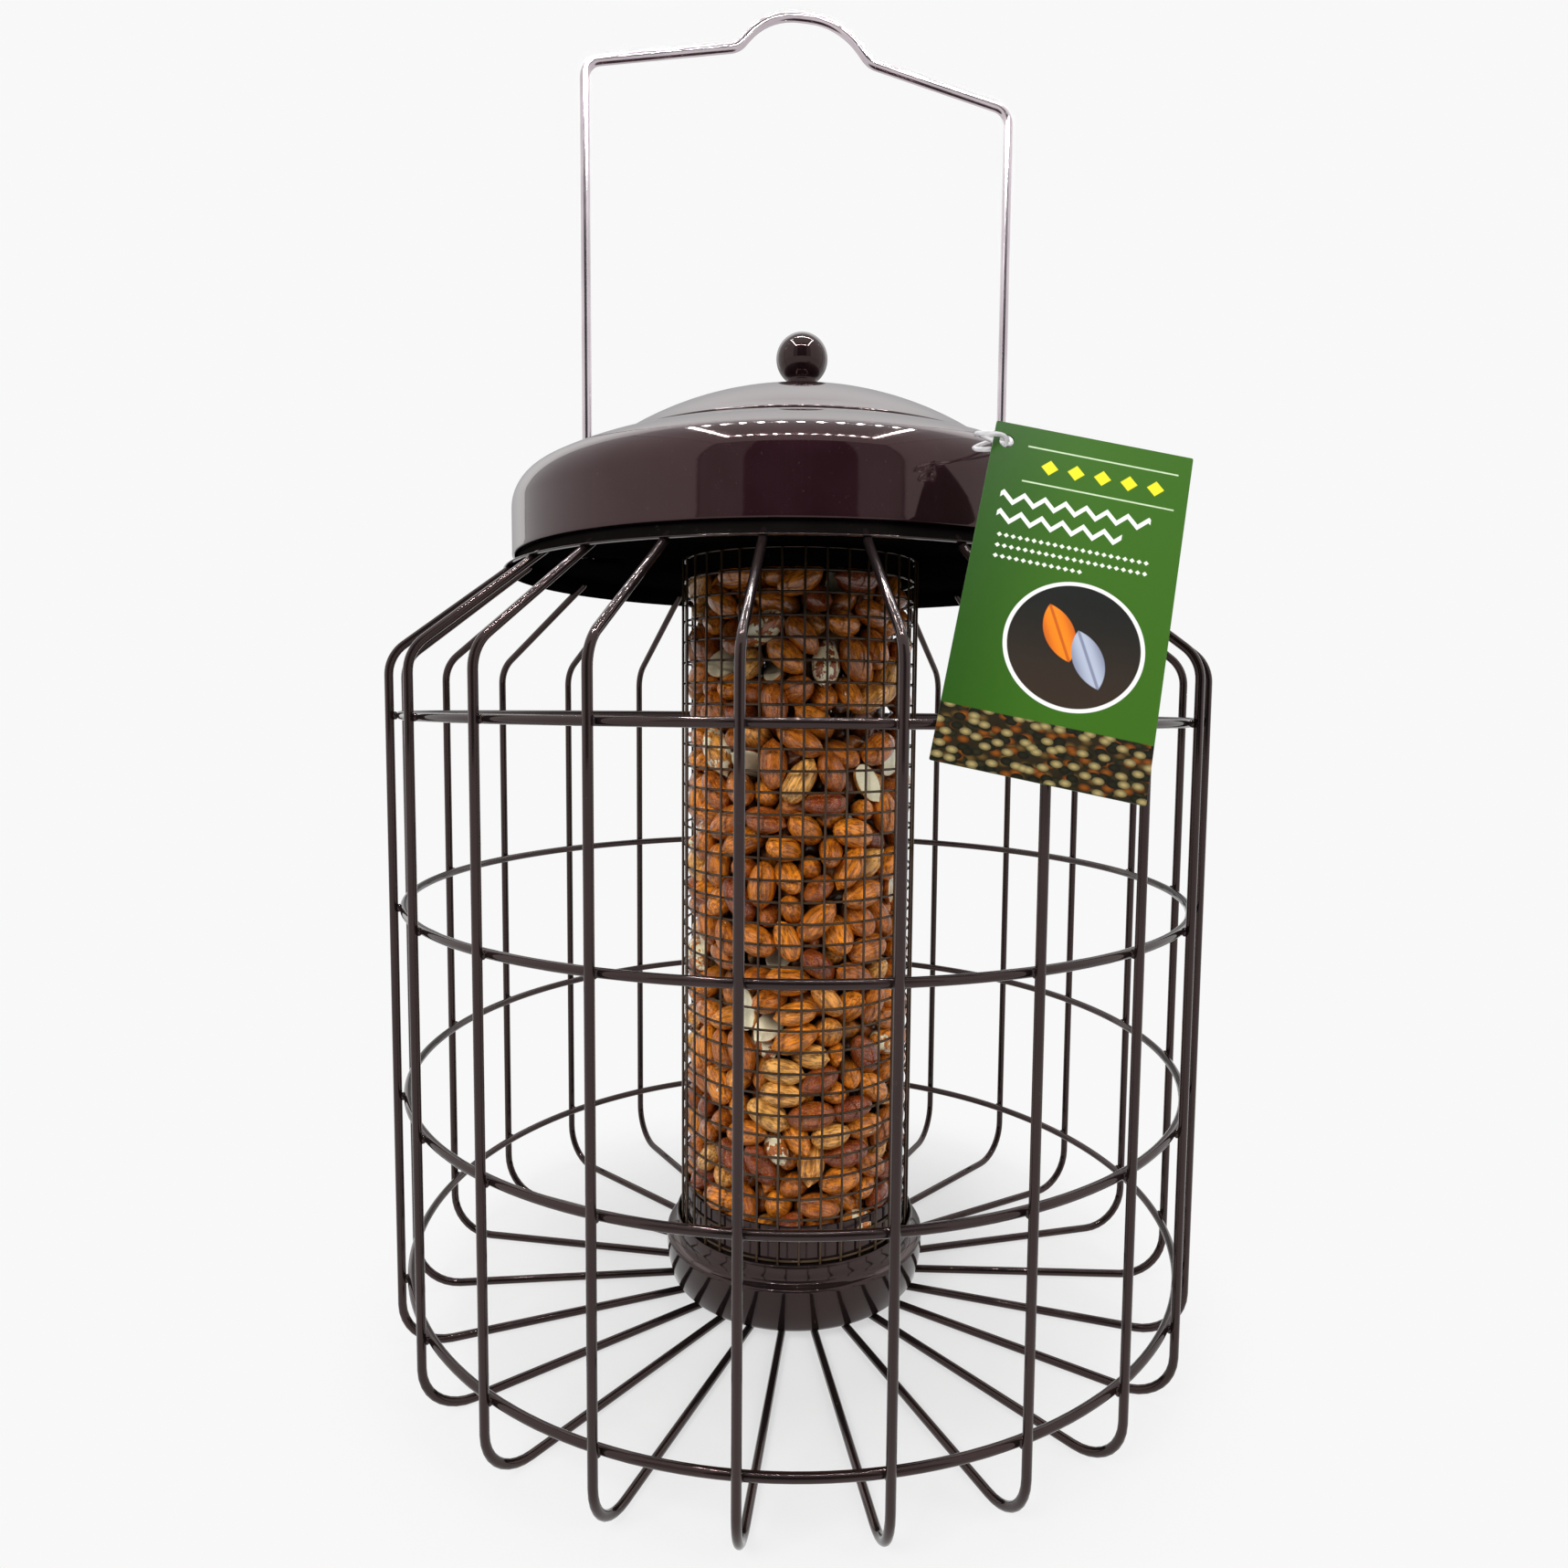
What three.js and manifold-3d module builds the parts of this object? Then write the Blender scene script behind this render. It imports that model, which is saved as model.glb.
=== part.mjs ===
// Squirrel proof bird feeder: a wire cage on four hoops stands round a mesh tube
// of peanuts. A pressed lid slides up the legs of a wire bail handle, and a card
// tag hangs from one leg over the lid's edge.
// Millimetres, +Z up, origin on the floor at the cage's axis, front towards -Y.

import * as THREE from 'three';
import { mergeVertices } from 'three/addons/utils/BufferGeometryUtils.js';
import Module from 'manifold-3d';

const wasm = await Module();
wasm.setup();

// Sizes that several pieces share
const SEAT_GAP = 0.3;
const SHEET = 0.8;
const CUT_OVERRUN = 5;

// Cage wires and hoops
const CAGE_WIRE_COUNT = 23;
const CAGE_TURN_DEG = -5.6;
const CAGE_WIRE = 2.2;
const HOOP_RADIUS = 110;
const HOOP_COUNT = 4;
const LOWEST_HOOP_HEIGHT = 20.3;
const HOOP_PITCH = 50;
const FLOOR_WIRE_END_RADIUS = 22;
const FLOOR_BEND_RADIUS = 12.5;
const ROOF_BEND_RADIUS = 10;
const ROOF_SLOPE_DEG = 38;
const ROOF_WIRE_END_RADIUS = 78;

// Top plate, a pressed ring with a flared lip that the roof wires are welded to
const PLATE_LIP_RADIUS = 83.5;
const PLATE_LIP_HEIGHT = 209.7;
const PLATE_LIP_FLARE = 3.4;
const PLATE_DEPTH = 5.8;
const PLATE_EDGE_RADIUS = 1.2;

// Mesh tube and the cups that close its foot
const TUBE_RADIUS = 34.2;
const STRAND = 0.8;
const STRANDS_ROUND = 18;
const STRANDS_UP = 11;
const TUBE_FIT = 0.5;
const INNER_CUP_HEIGHT = 27.4;
const BASE_CUP_RADIUS = 38.8;
const BASE_CUP_FOOT_RADIUS = 37.8;
const BASE_CUP_FOOT_RISE = 3;
const BASE_CUP_BEAD_HEIGHT = 16.1;
const BASE_CUP_NECK_HEIGHT = 17;
const BASE_CUP_RIM_HEIGHT = 21.3;

// Collar that keeps the tube's mouth open, with its flange on the top plate
const COLLAR_DEPTH = 9.3;
const COLLAR_FLANGE_RADIUS = 40;

// Peanuts: rows of nuts that lie round the tube, with gaps between them
const NUT_ROWS = 21;
const NUTS_ROUND = 12;
const NUT_GAP_DEPTH = 6;
const NUT_TIP_RISE = 1.6;
const NUT_RIDGE_SHARE = 0.42;
const NUT_TIP_TURNS = [2.4, 1.7];
const FILL_CLEARANCE_BELOW_COLLAR = 0.4;
const FILL_CROWN_RISE = 4;
const FILL_NECK_CLEARANCE = 0.8;

// Lid pan, its domed cap, knob, screw and washer
const LID_RADIUS = 81.3;
const LID_SKIRT_HEIGHT = 12.8;
const LID_SHOULDER_RADIUS = 11.2;
const LID_SHOULDER_ARC_DEG = 60.7;
const LID_DOME_RADIUS = 80.2;
const LID_SEAT_MARGIN = 1;
const CAP_LEG_CLEARANCE = 3.8;
const CAP_RISE = 19.3;
const KNOB_RADIUS = 7.4;
const KNOB_NECK_RADIUS = 4.4;
const KNOB_RISE = 10.35;
const SCREW_RADIUS = 2;
const SCREW_GRIP_IN_KNOB = 6.5;
const SCREW_HEAD_RADIUS = 4;
const SCREW_HEAD_HEIGHT = 2.8;
const WASHER_RADIUS = 6;
const WASHER_THICKNESS = 1;

// Bail handle
const HANDLE_WIRE = 2.6;
const HANDLE_TURN_DEG = 10;
const HANDLE_LEG_RADIUS = 61;
const HANDLE_FOOT_END_RADIUS = 52;
const HANDLE_FOOT_BEND_RADIUS = 1.8;
const HANDLE_SHOULDER_HEIGHT = 348.3;
const HANDLE_SHOULDER_BEND_RADIUS = 5;
const HANDLE_HUMP_FOOT_RADIUS = 19;
const HANDLE_HUMP_FOOT_HEIGHT = 356.9;
const HANDLE_HUMP_FOOT_BEND_RADIUS = 6;
const HANDLE_HUMP_HALF_WIDTH = 10.5;
const HANDLE_HUMP_HEIGHT = 367;
const HANDLE_HUMP_BEND_RADIUS = 19;
const PLATE_LEG_CLEARANCE = 0.4;
const LID_LEG_CLEARANCE = 0.7;

// Hang tag and the loop that ties it to a handle leg
const TAG_WIDTH = 40.7;
const TAG_HEIGHT = 75.3;
const TAG_CORNER_RADIUS = 1;
const TAG_THICKNESS = 0.5;
const TAG_HOLE_RADIUS = 1.5;
const TAG_HOLE_FROM_SIDE = 2.8;
const TAG_HOLE_FROM_TOP = 4.4;
const TAG_FACING_DEG = 0;
const TAG_TILT_DEG = 12.3;
const TAG_RIM_CLEARANCE = 16;
const TAG_HOLE_RISE = 14.7;
const TAG_HOLE_ASIDE = 42.2;
const LOOP_WIRE = 1;
const LOOP_LIFT = 0.9;
const LOOP_LEAVE_SHARE = 0.78;
const LOOP_BEAD_RADIUS = 1.5;
const LOOP_SIDE_REACH = 6.5;
const LOOP_THREAD_REACH = 1.5;
const LOOP_THREAD_DEG = 30;

// Facets
const HOOP_STEPS = 2 * CAGE_WIRE_COUNT;
const WIRE_SIDES = 6;
const HANDLE_SIDES = 8;
const TURNED_STEPS = 36;
const LID_STEPS = 40;
const SMALL_STEPS = 20;
const SCREW_STEPS = 16;
const BEND_STEPS = 4;
const LOOP_STEPS = 10;
const LEAN_PASSES = 8;

const ENAMEL = { color: 0x3a2e2d, metalness: 0.35, roughness: 0.28 };
const BRIGHT_WIRE = { color: 0xb9b3b6, metalness: 0.95, roughness: 0.22 };
const STEEL = { color: 0xa9a9ac, metalness: 0.9, roughness: 0.35 };
const PEANUT_SKIN = { color: 0x9a5a2a, metalness: 0, roughness: 0.6 };
const TAG_CARD = { color: 0x3f7a2c, metalness: 0, roughness: 0.55 };
const CLEAR_PLASTIC = { color: 0xdedede, metalness: 0, roughness: 0.4 };

const radians = THREE.MathUtils.degToRad;

// Solids

function signedVolume(geometry) {
  const place = geometry.attributes.position;
  const index = geometry.index.array;
  const [a, b, c] = [new THREE.Vector3(), new THREE.Vector3(), new THREE.Vector3()];
  let volume = 0;
  for (let i = 0; i < index.length; i += 3) {
    a.fromBufferAttribute(place, index[i]);
    b.fromBufferAttribute(place, index[i + 1]);
    c.fromBufferAttribute(place, index[i + 2]);
    volume += a.dot(b.cross(c)) / 6;
  }
  return volume;
}

// Joins the vertices that lie together, drops faces with no area and turns the
// faces outwards.
function closedBody(source) {
  const bare = source.clone();
  bare.deleteAttribute('normal');
  bare.deleteAttribute('uv');
  const merged = mergeVertices(bare);
  const kept = [];
  const index = merged.index.array;
  for (let i = 0; i < index.length; i += 3) {
    const [p, q, r] = [index[i], index[i + 1], index[i + 2]];
    if (p !== q && q !== r && r !== p) kept.push(p, q, r);
  }
  merged.setIndex(kept);
  if (signedVolume(merged) < 0) {
    for (let i = 0; i < kept.length; i += 3) {
      [kept[i + 1], kept[i + 2]] = [kept[i + 2], kept[i + 1]];
    }
    merged.setIndex(kept);
  }
  return merged;
}

function toSolid(geometry) {
  const body = closedBody(geometry);
  return new wasm.Manifold(new wasm.Mesh({
    numProp: 3,
    vertProperties: new Float32Array(body.attributes.position.array),
    triVerts: new Uint32Array(body.index.array),
  }));
}

function toGeometry(solid) {
  const mesh = solid.getMesh();
  const geometry = new THREE.BufferGeometry();
  geometry.setAttribute('position', new THREE.BufferAttribute(mesh.vertProperties, 3));
  geometry.setIndex(new THREE.BufferAttribute(mesh.triVerts, 1));
  return geometry;
}

function cut(body, cutters) {
  let solid = toSolid(body);
  for (const cutter of cutters) solid = solid.subtract(toSolid(cutter));
  return toGeometry(solid);
}

// Spins an outline of [radius, height] pairs round the Z axis.
function turned(outline, steps) {
  const points = outline.map(([radius, height]) => new THREE.Vector2(radius, height));
  return closedBody(new THREE.LatheGeometry(points, steps).rotateX(Math.PI / 2));
}

// Joins rings that have the same number of points, from one end of a body to the other.
function throughRings(rings) {
  const count = rings[0].length;
  const index = [];
  for (let i = 0; i < rings.length - 1; i += 1) {
    for (let k = 0; k < count; k += 1) {
      const [here, next] = [i * count + k, i * count + (k + 1) % count];
      index.push(here, next, here + count, next, next + count, here + count);
    }
  }
  const geometry = new THREE.BufferGeometry().setFromPoints(rings.flat());
  return closedBody(geometry.setIndex(index));
}

function closedOutline(outline) {
  return [...outline, outline[0]];
}

// Points of an arc in a [radius, height] plane, with angles in degrees.
function arc([centreRadius, centreHeight], radius, startDeg, endDeg, steps) {
  const points = [];
  for (let i = 0; i <= steps; i += 1) {
    const angle = radians(startDeg + (endDeg - startDeg) * i / steps);
    points.push([centreRadius + radius * Math.cos(angle), centreHeight + radius * Math.sin(angle)]);
  }
  return points;
}

// A path that an extrusion follows with one step for each of its points. The
// section's second axis starts along the given direction and turns with the path.
class StationPath extends THREE.Curve {
  constructor(stations, across) {
    super();
    this.stations = stations;
    this.across = across;
  }

  getPoint(share) {
    const last = this.stations.length - 1;
    const place = Math.min(Math.max(share, 0), 1) * last;
    const before = Math.min(Math.floor(place), last - 1);
    return this.stations[before].clone().lerp(this.stations[before + 1], place - before);
  }

  getPointAt(share) {
    return this.getPoint(share);
  }

  getTangentAt(share) {
    const last = this.stations.length - 1;
    const here = Math.round(share * last);
    const arriving = this.stations[here].clone().sub(this.stations[Math.max(here - 1, 0)]);
    const leaving = this.stations[Math.min(here + 1, last)].clone().sub(this.stations[here]);
    return arriving.normalize().add(leaving.normalize()).normalize();
  }

  computeFrenetFrames(segments) {
    const frames = { tangents: [], normals: [], binormals: [] };
    let binormal = this.across;
    for (let i = 0; i <= segments; i += 1) {
      const tangent = this.getTangentAt(i / segments);
      binormal = binormal.clone().addScaledVector(tangent, -binormal.dot(tangent)).normalize();
      frames.tangents.push(tangent);
      frames.normals.push(binormal.clone().cross(tangent));
      frames.binormals.push(binormal);
    }
    return frames;
  }
}

// A regular section whose flats lie at the wire's radius.
function wireSection(diameter, sides) {
  const corner = diameter / 2 / Math.cos(Math.PI / sides);
  const points = [];
  for (let i = 0; i < sides; i += 1) {
    const angle = (2 * i + 1) * Math.PI / sides;
    points.push(new THREE.Vector2(corner * Math.cos(angle), corner * Math.sin(angle)));
  }
  return new THREE.Shape(points);
}

function wireAlong(stations, diameter, sides, across) {
  const shape = wireSection(diameter, sides);
  const settings = {
    steps: stations.length - 1,
    bevelEnabled: false,
    extrudePath: new StationPath(stations, across),
  };
  return closedBody(new THREE.ExtrudeGeometry(shape, settings));
}

// Rounds the corners of a bent wire: corners are [across, height, bend radius].
function bentStations(corners, stepsPerBend) {
  const stations = [];
  const flat = corners.map(([across, height]) => new THREE.Vector2(across, height));
  corners.forEach((corner, i) => {
    if (i === 0 || i === corners.length - 1) {
      stations.push(flat[i]);
      return;
    }
    const back = flat[i - 1].clone().sub(flat[i]).normalize();
    const ahead = flat[i + 1].clone().sub(flat[i]).normalize();
    const half = Math.acos(back.dot(ahead)) / 2;
    const middle = back.clone().add(ahead).normalize();
    const centre = flat[i].clone().addScaledVector(middle, corner[2] / Math.sin(half));
    const start = flat[i].clone().addScaledVector(back, corner[2] / Math.tan(half)).sub(centre);
    const turn = (Math.PI - 2 * half) * Math.sign(start.cross(middle.clone().negate()));
    for (let step = 0; step <= stepsPerBend; step += 1) {
      const spoke = start.clone().rotateAround(new THREE.Vector2(), turn * step / stepsPerBend);
      stations.push(centre.clone().add(spoke));
    }
  });
  return stations.map(({ x, y }) => new THREE.Vector3(x, 0, y));
}

function bentWire(corners, diameter, sides) {
  return wireAlong(bentStations(corners, BEND_STEPS), diameter, sides, new THREE.Vector3(0, 1, 0));
}

function postCutter(radius, low, high, across, turnDeg) {
  const height = high - low + 2 * CUT_OVERRUN;
  const post = new THREE.CylinderGeometry(radius, radius, height, SMALL_STEPS);
  post.rotateX(Math.PI / 2);
  post.translate(across, 0, (low + high) / 2);
  return post.rotateZ(radians(turnDeg));
}

const feeder = new THREE.Group();

function addPiece(parent, name, geometry, look) {
  const mesh = new THREE.Mesh(geometry, new THREE.MeshStandardMaterial(look));
  mesh.name = name;
  parent.add(mesh);
  return mesh;
}

// Cage: wires that run in under the cup, up past the hoops and in over the roof

const wireRadius = CAGE_WIRE / 2;
const wireCircle = HOOP_RADIUS + CAGE_WIRE + SEAT_GAP;
const roofSlope = radians(ROOF_SLOPE_DEG);
const wireHeightAtLip = PLATE_LIP_HEIGHT - SEAT_GAP - wireRadius / Math.cos(roofSlope);
const roofHeightAt = (radius) => wireHeightAtLip + (PLATE_LIP_RADIUS - radius) * Math.tan(roofSlope);
const cageAngleDeg = (index) => CAGE_TURN_DEG - 90 + index * 360 / CAGE_WIRE_COUNT;

function cageWire() {
  const corners = [
    [FLOOR_WIRE_END_RADIUS, wireRadius],
    [wireCircle, wireRadius, FLOOR_BEND_RADIUS],
    [wireCircle, roofHeightAt(wireCircle), ROOF_BEND_RADIUS],
    [ROOF_WIRE_END_RADIUS, roofHeightAt(ROOF_WIRE_END_RADIUS)],
  ];
  return bentWire(corners, CAGE_WIRE, WIRE_SIDES);
}

const cage = new THREE.Group();
cage.rotation.z = radians(cageAngleDeg(0));
feeder.add(cage);

for (let i = 0; i < CAGE_WIRE_COUNT; i += 1) {
  const name = `cage_wire_${String(i + 1).padStart(2, '0')}`;
  const wire = addPiece(cage, name, cageWire(), ENAMEL);
  wire.rotation.z = radians(cageAngleDeg(i) - cageAngleDeg(0));
}

for (let i = 0; i < HOOP_COUNT; i += 1) {
  const ring = new THREE.TorusGeometry(HOOP_RADIUS, wireRadius, WIRE_SIDES, HOOP_STEPS);
  const hoop = addPiece(cage, `cage_hoop_${i + 1}`, closedBody(ring), ENAMEL);
  hoop.position.z = LOWEST_HOOP_HEIGHT + i * HOOP_PITCH;
}

// Top plate

const plateTop = PLATE_LIP_HEIGHT + PLATE_DEPTH;
const plateUnderside = plateTop - SHEET;
const plateWall = PLATE_LIP_RADIUS - PLATE_LIP_FLARE;
const lipRise = (PLATE_LIP_FLARE + SHEET) * Math.tan(roofSlope);
const tubeOuter = TUBE_RADIUS + STRAND / 2;
const plateHoleRadius = tubeOuter + SHEET;
const legHoleInPlate = HANDLE_WIRE / 2 + PLATE_LEG_CLEARANCE;

function legCutters(radius, low, high) {
  const left = postCutter(radius, low, high, -HANDLE_LEG_RADIUS, HANDLE_TURN_DEG);
  const right = postCutter(radius, low, high, HANDLE_LEG_RADIUS, HANDLE_TURN_DEG);
  return [left, right];
}

function topPlate() {
  const edge = [plateWall - PLATE_EDGE_RADIUS, plateTop - PLATE_EDGE_RADIUS];
  const innerRadius = PLATE_EDGE_RADIUS - SHEET;
  const outline = closedOutline([
    [plateHoleRadius, plateUnderside],
    [plateHoleRadius, plateTop],
    ...arc(edge, PLATE_EDGE_RADIUS, 90, 0, 2),
    [plateWall, PLATE_LIP_HEIGHT + lipRise + SHEET / 2],
    [PLATE_LIP_RADIUS, PLATE_LIP_HEIGHT + SHEET / 2],
    [PLATE_LIP_RADIUS, PLATE_LIP_HEIGHT],
    [plateWall - SHEET, PLATE_LIP_HEIGHT + lipRise],
    ...arc(edge, innerRadius, 0, 90, 2),
  ]);
  const cutters = legCutters(legHoleInPlate, plateUnderside, plateTop);
  return cut(turned(outline, TURNED_STEPS), cutters);
}

addPiece(feeder, 'cage_top_plate', topPlate(), ENAMEL);

// Mesh tube: a lattice of strands round a prism

const baseFloorUnderside = CAGE_WIRE + SEAT_GAP;
const tubeFoot = baseFloorUnderside + SHEET + SEAT_GAP;
const tubeTop = plateTop;
const collarFlangeUnderside = plateTop + SEAT_GAP;
const strandHalfAngle = Math.asin(STRAND / 2 / TUBE_RADIUS);
const windowHalfAngle = Math.PI / STRANDS_ROUND - strandHalfAngle;
const tubeBore = (TUBE_RADIUS - STRAND / 2) * Math.cos(windowHalfAngle) - SEAT_GAP;

function meshTube() {
  const columns = [];
  for (let i = 0; i < STRANDS_ROUND; i += 1) {
    const angle = i * 2 * Math.PI / STRANDS_ROUND;
    columns.push(angle - strandHalfAngle, angle + strandHalfAngle);
  }
  const levels = [];
  for (let i = 0; i < STRANDS_UP; i += 1) {
    const height = tubeFoot + i * (tubeTop - STRAND - tubeFoot) / (STRANDS_UP - 1);
    levels.push(height, height + STRAND);
  }
  const inner = TUBE_RADIUS - STRAND / 2;
  const corner = (column, level, radius) => {
    const angle = columns[(column + columns.length) % columns.length];
    return [radius * Math.cos(angle), radius * Math.sin(angle), levels[level]];
  };
  const isStrand = (column, level) => {
    if (level < 0 || level > levels.length - 2) return false;
    return column % 2 === 0 || level % 2 === 0;
  };
  const places = [];
  const quad = (a, b, c, d) => places.push(...a, ...b, ...c, ...a, ...c, ...d);
  for (let i = 0; i < columns.length; i += 1) {
    const neighbours = [(i + columns.length - 1) % columns.length, (i + 1) % columns.length];
    for (let j = 0; j < levels.length - 1; j += 1) {
      if (!isStrand(i, j)) continue;
      const [a, b] = [corner(i, j, tubeOuter), corner(i + 1, j, tubeOuter)];
      const [c, d] = [corner(i + 1, j + 1, tubeOuter), corner(i, j + 1, tubeOuter)];
      const [e, f] = [corner(i, j, inner), corner(i + 1, j, inner)];
      const [g, h] = [corner(i + 1, j + 1, inner), corner(i, j + 1, inner)];
      quad(a, b, c, d);
      quad(f, e, h, g);
      if (!isStrand(i, j - 1)) quad(e, f, b, a);
      if (!isStrand(i, j + 1)) quad(d, c, g, h);
      if (!isStrand(neighbours[0], j)) quad(e, a, d, h);
      if (!isStrand(neighbours[1], j)) quad(b, f, g, c);
    }
  }
  const geometry = new THREE.BufferGeometry();
  geometry.setAttribute('position', new THREE.Float32BufferAttribute(places, 3));
  return closedBody(geometry);
}

addPiece(feeder, 'mesh_tube', meshTube(), ENAMEL);

// Cups at the tube's foot

function baseCup() {
  const rise = (height) => baseFloorUnderside + height;
  const neckOuter = tubeOuter + TUBE_FIT + SHEET;
  const outline = [
    [0, rise(0)],
    [BASE_CUP_FOOT_RADIUS, rise(0)],
    [BASE_CUP_RADIUS, rise(BASE_CUP_FOOT_RISE)],
    [BASE_CUP_RADIUS, BASE_CUP_BEAD_HEIGHT],
    [neckOuter, BASE_CUP_NECK_HEIGHT],
    [neckOuter, BASE_CUP_RIM_HEIGHT],
    [neckOuter - SHEET, BASE_CUP_RIM_HEIGHT],
    [neckOuter - SHEET, BASE_CUP_NECK_HEIGHT - SHEET],
    [BASE_CUP_RADIUS - SHEET, BASE_CUP_BEAD_HEIGHT - SHEET],
    [BASE_CUP_RADIUS - SHEET, rise(BASE_CUP_FOOT_RISE)],
    [BASE_CUP_FOOT_RADIUS - SHEET / 2, rise(SHEET)],
    [0, rise(SHEET)],
  ];
  return turned(outline, TURNED_STEPS);
}

function innerCup() {
  const rim = tubeFoot + INNER_CUP_HEIGHT;
  const outline = [
    [0, tubeFoot],
    [tubeBore - SHEET, tubeFoot],
    [tubeBore, tubeFoot + SHEET],
    [tubeBore, rim],
    [tubeBore - SHEET, rim],
    [tubeBore - SHEET, tubeFoot + 2 * SHEET],
    [tubeBore - 2 * SHEET, tubeFoot + SHEET],
    [0, tubeFoot + SHEET],
  ];
  return turned(outline, TURNED_STEPS);
}

addPiece(feeder, 'base_cup', baseCup(), ENAMEL);
addPiece(feeder, 'inner_cup', innerCup(), ENAMEL);

// Collar at the tube's mouth

const collarTop = collarFlangeUnderside + SHEET;
const collarFoot = collarTop - COLLAR_DEPTH;

function tubeCollar() {
  const outline = closedOutline([
    [tubeBore - SHEET, collarFoot],
    [tubeBore, collarFoot],
    [tubeBore, collarFlangeUnderside],
    [COLLAR_FLANGE_RADIUS, collarFlangeUnderside],
    [COLLAR_FLANGE_RADIUS, collarTop],
    [tubeBore - SHEET, collarTop],
  ]);
  return turned(outline, TURNED_STEPS);
}

addPiece(feeder, 'tube_collar', tubeCollar(), ENAMEL);

// Peanuts: one body that fills the tube from the inner cup to the collar. At the mesh it
// has rows of nuts, each a ridge with two ends that tip up and down.

const nutPointsRound = 3 * NUTS_ROUND;

function fillPoint(radius, turns, height) {
  const angle = 2 * Math.PI * turns;
  return new THREE.Vector3(radius * Math.cos(angle), radius * Math.sin(angle), height);
}

function plainRing(radius, height) {
  return Array.from({ length: nutPointsRound }, (_, k) => fillPoint(radius, k / nutPointsRound, height));
}

function nutRow(row, height) {
  const points = [];
  for (let nut = 0; nut < NUTS_ROUND; nut += 1) {
    const start = nut + (row % 2) / 2;
    const tip = NUT_TIP_RISE * Math.sin(row * NUT_TIP_TURNS[0] + nut * NUT_TIP_TURNS[1]);
    const ridge = [(1 - NUT_RIDGE_SHARE) / 2, (1 + NUT_RIDGE_SHARE) / 2];
    points.push(
      fillPoint(tubeBore - NUT_GAP_DEPTH, start / NUTS_ROUND, height),
      fillPoint(tubeBore, (start + ridge[0]) / NUTS_ROUND, height - tip),
      fillPoint(tubeBore, (start + ridge[1]) / NUTS_ROUND, height + tip),
    );
  }
  return points;
}

function peanutFill() {
  const inCup = tubeBore - SHEET - SEAT_GAP;
  const inNeck = tubeBore - SHEET - FILL_NECK_CLEARANCE;
  const floor = tubeFoot + 2 * SHEET + SEAT_GAP;
  const cupRim = tubeFoot + INNER_CUP_HEIGHT + SEAT_GAP;
  const neck = collarFoot - FILL_CLEARANCE_BELOW_COLLAR;
  const rings = [
    plainRing(0, floor),
    plainRing(inCup - SHEET, floor),
    plainRing(inCup, floor + SHEET),
    plainRing(inCup, cupRim),
  ];
  const pitch = (neck - cupRim) / NUT_ROWS;
  for (let row = 0; row < NUT_ROWS; row += 1) {
    rings.push(nutRow(row, cupRim + (row + 1 / 2) * pitch));
    if (row < NUT_ROWS - 1) rings.push(plainRing(tubeBore - NUT_GAP_DEPTH, cupRim + (row + 1) * pitch));
  }
  rings.push(plainRing(inNeck, neck), plainRing(0, neck + FILL_CROWN_RISE));
  return throughRings(rings);
}

addPiece(feeder, 'peanut_fill', peanutFill(), PEANUT_SKIN);

// Lid: a pan with a skirt and a domed cap under the knob, all on one screw

const capRadius = HANDLE_LEG_RADIUS - CAP_LEG_CLEARANCE;
const seatRadius = capRadius + LID_SEAT_MARGIN;
const flareFall = (lipRise / PLATE_LIP_FLARE) * (LID_RADIUS - SHEET - plateWall);
const flareGap = SEAT_GAP * Math.hypot(1, lipRise / PLATE_LIP_FLARE);
const lidFoot = PLATE_LIP_HEIGHT + lipRise + SHEET / 2 - flareFall + flareGap;
const shoulderCentre = [LID_RADIUS - LID_SHOULDER_RADIUS, lidFoot + LID_SKIRT_HEIGHT];
const shoulderArc = radians(LID_SHOULDER_ARC_DEG);
const domeOffset = LID_DOME_RADIUS - LID_SHOULDER_RADIUS;
const domeCentre = [
  shoulderCentre[0] - domeOffset * Math.cos(shoulderArc),
  shoulderCentre[1] - domeOffset * Math.sin(shoulderArc),
];
const seatAngleDeg = 180 / Math.PI * Math.acos((seatRadius - domeCentre[0]) / LID_DOME_RADIUS);
const seatHeight = domeCentre[1] + LID_DOME_RADIUS * Math.sin(radians(seatAngleDeg));
const screwHoleRadius = SCREW_RADIUS + SEAT_GAP;
const legHoleInLid = HANDLE_WIRE / 2 + LID_LEG_CLEARANCE;

// Height of the pan's outside at a radius between its seat and its skirt.
function lidHeightAt(radius) {
  const onDome = domeCentre[0] + LID_DOME_RADIUS * Math.cos(shoulderArc);
  const [centre, bend] = radius < onDome
    ? [domeCentre, LID_DOME_RADIUS]
    : [shoulderCentre, LID_SHOULDER_RADIUS];
  const reach = Math.min(radius - centre[0], bend);
  return centre[1] + Math.sqrt(bend * bend - reach * reach);
}

function panSkin(inset) {
  const shoulder = LID_SHOULDER_RADIUS - inset;
  const dome = LID_DOME_RADIUS - inset;
  return [
    [screwHoleRadius, seatHeight - inset],
    ...arc(domeCentre, dome, seatAngleDeg, LID_SHOULDER_ARC_DEG, 2),
    ...arc(shoulderCentre, shoulder, LID_SHOULDER_ARC_DEG, 0, 4).slice(1),
    [LID_RADIUS - inset, lidFoot],
  ];
}

function lidPan() {
  const outline = closedOutline([...panSkin(0), ...panSkin(SHEET).reverse()]);
  const cutters = legCutters(legHoleInLid, seatHeight - LID_SHOULDER_RADIUS, seatHeight);
  return cut(turned(outline, LID_STEPS), cutters);
}

const capFoot = seatHeight + SEAT_GAP;
const capTop = capFoot + CAP_RISE;
const capBend = (capRadius * capRadius + CAP_RISE * CAP_RISE) / (2 * CAP_RISE);
const capRimAngleDeg = 180 / Math.PI * Math.acos(capRadius / capBend);

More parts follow.
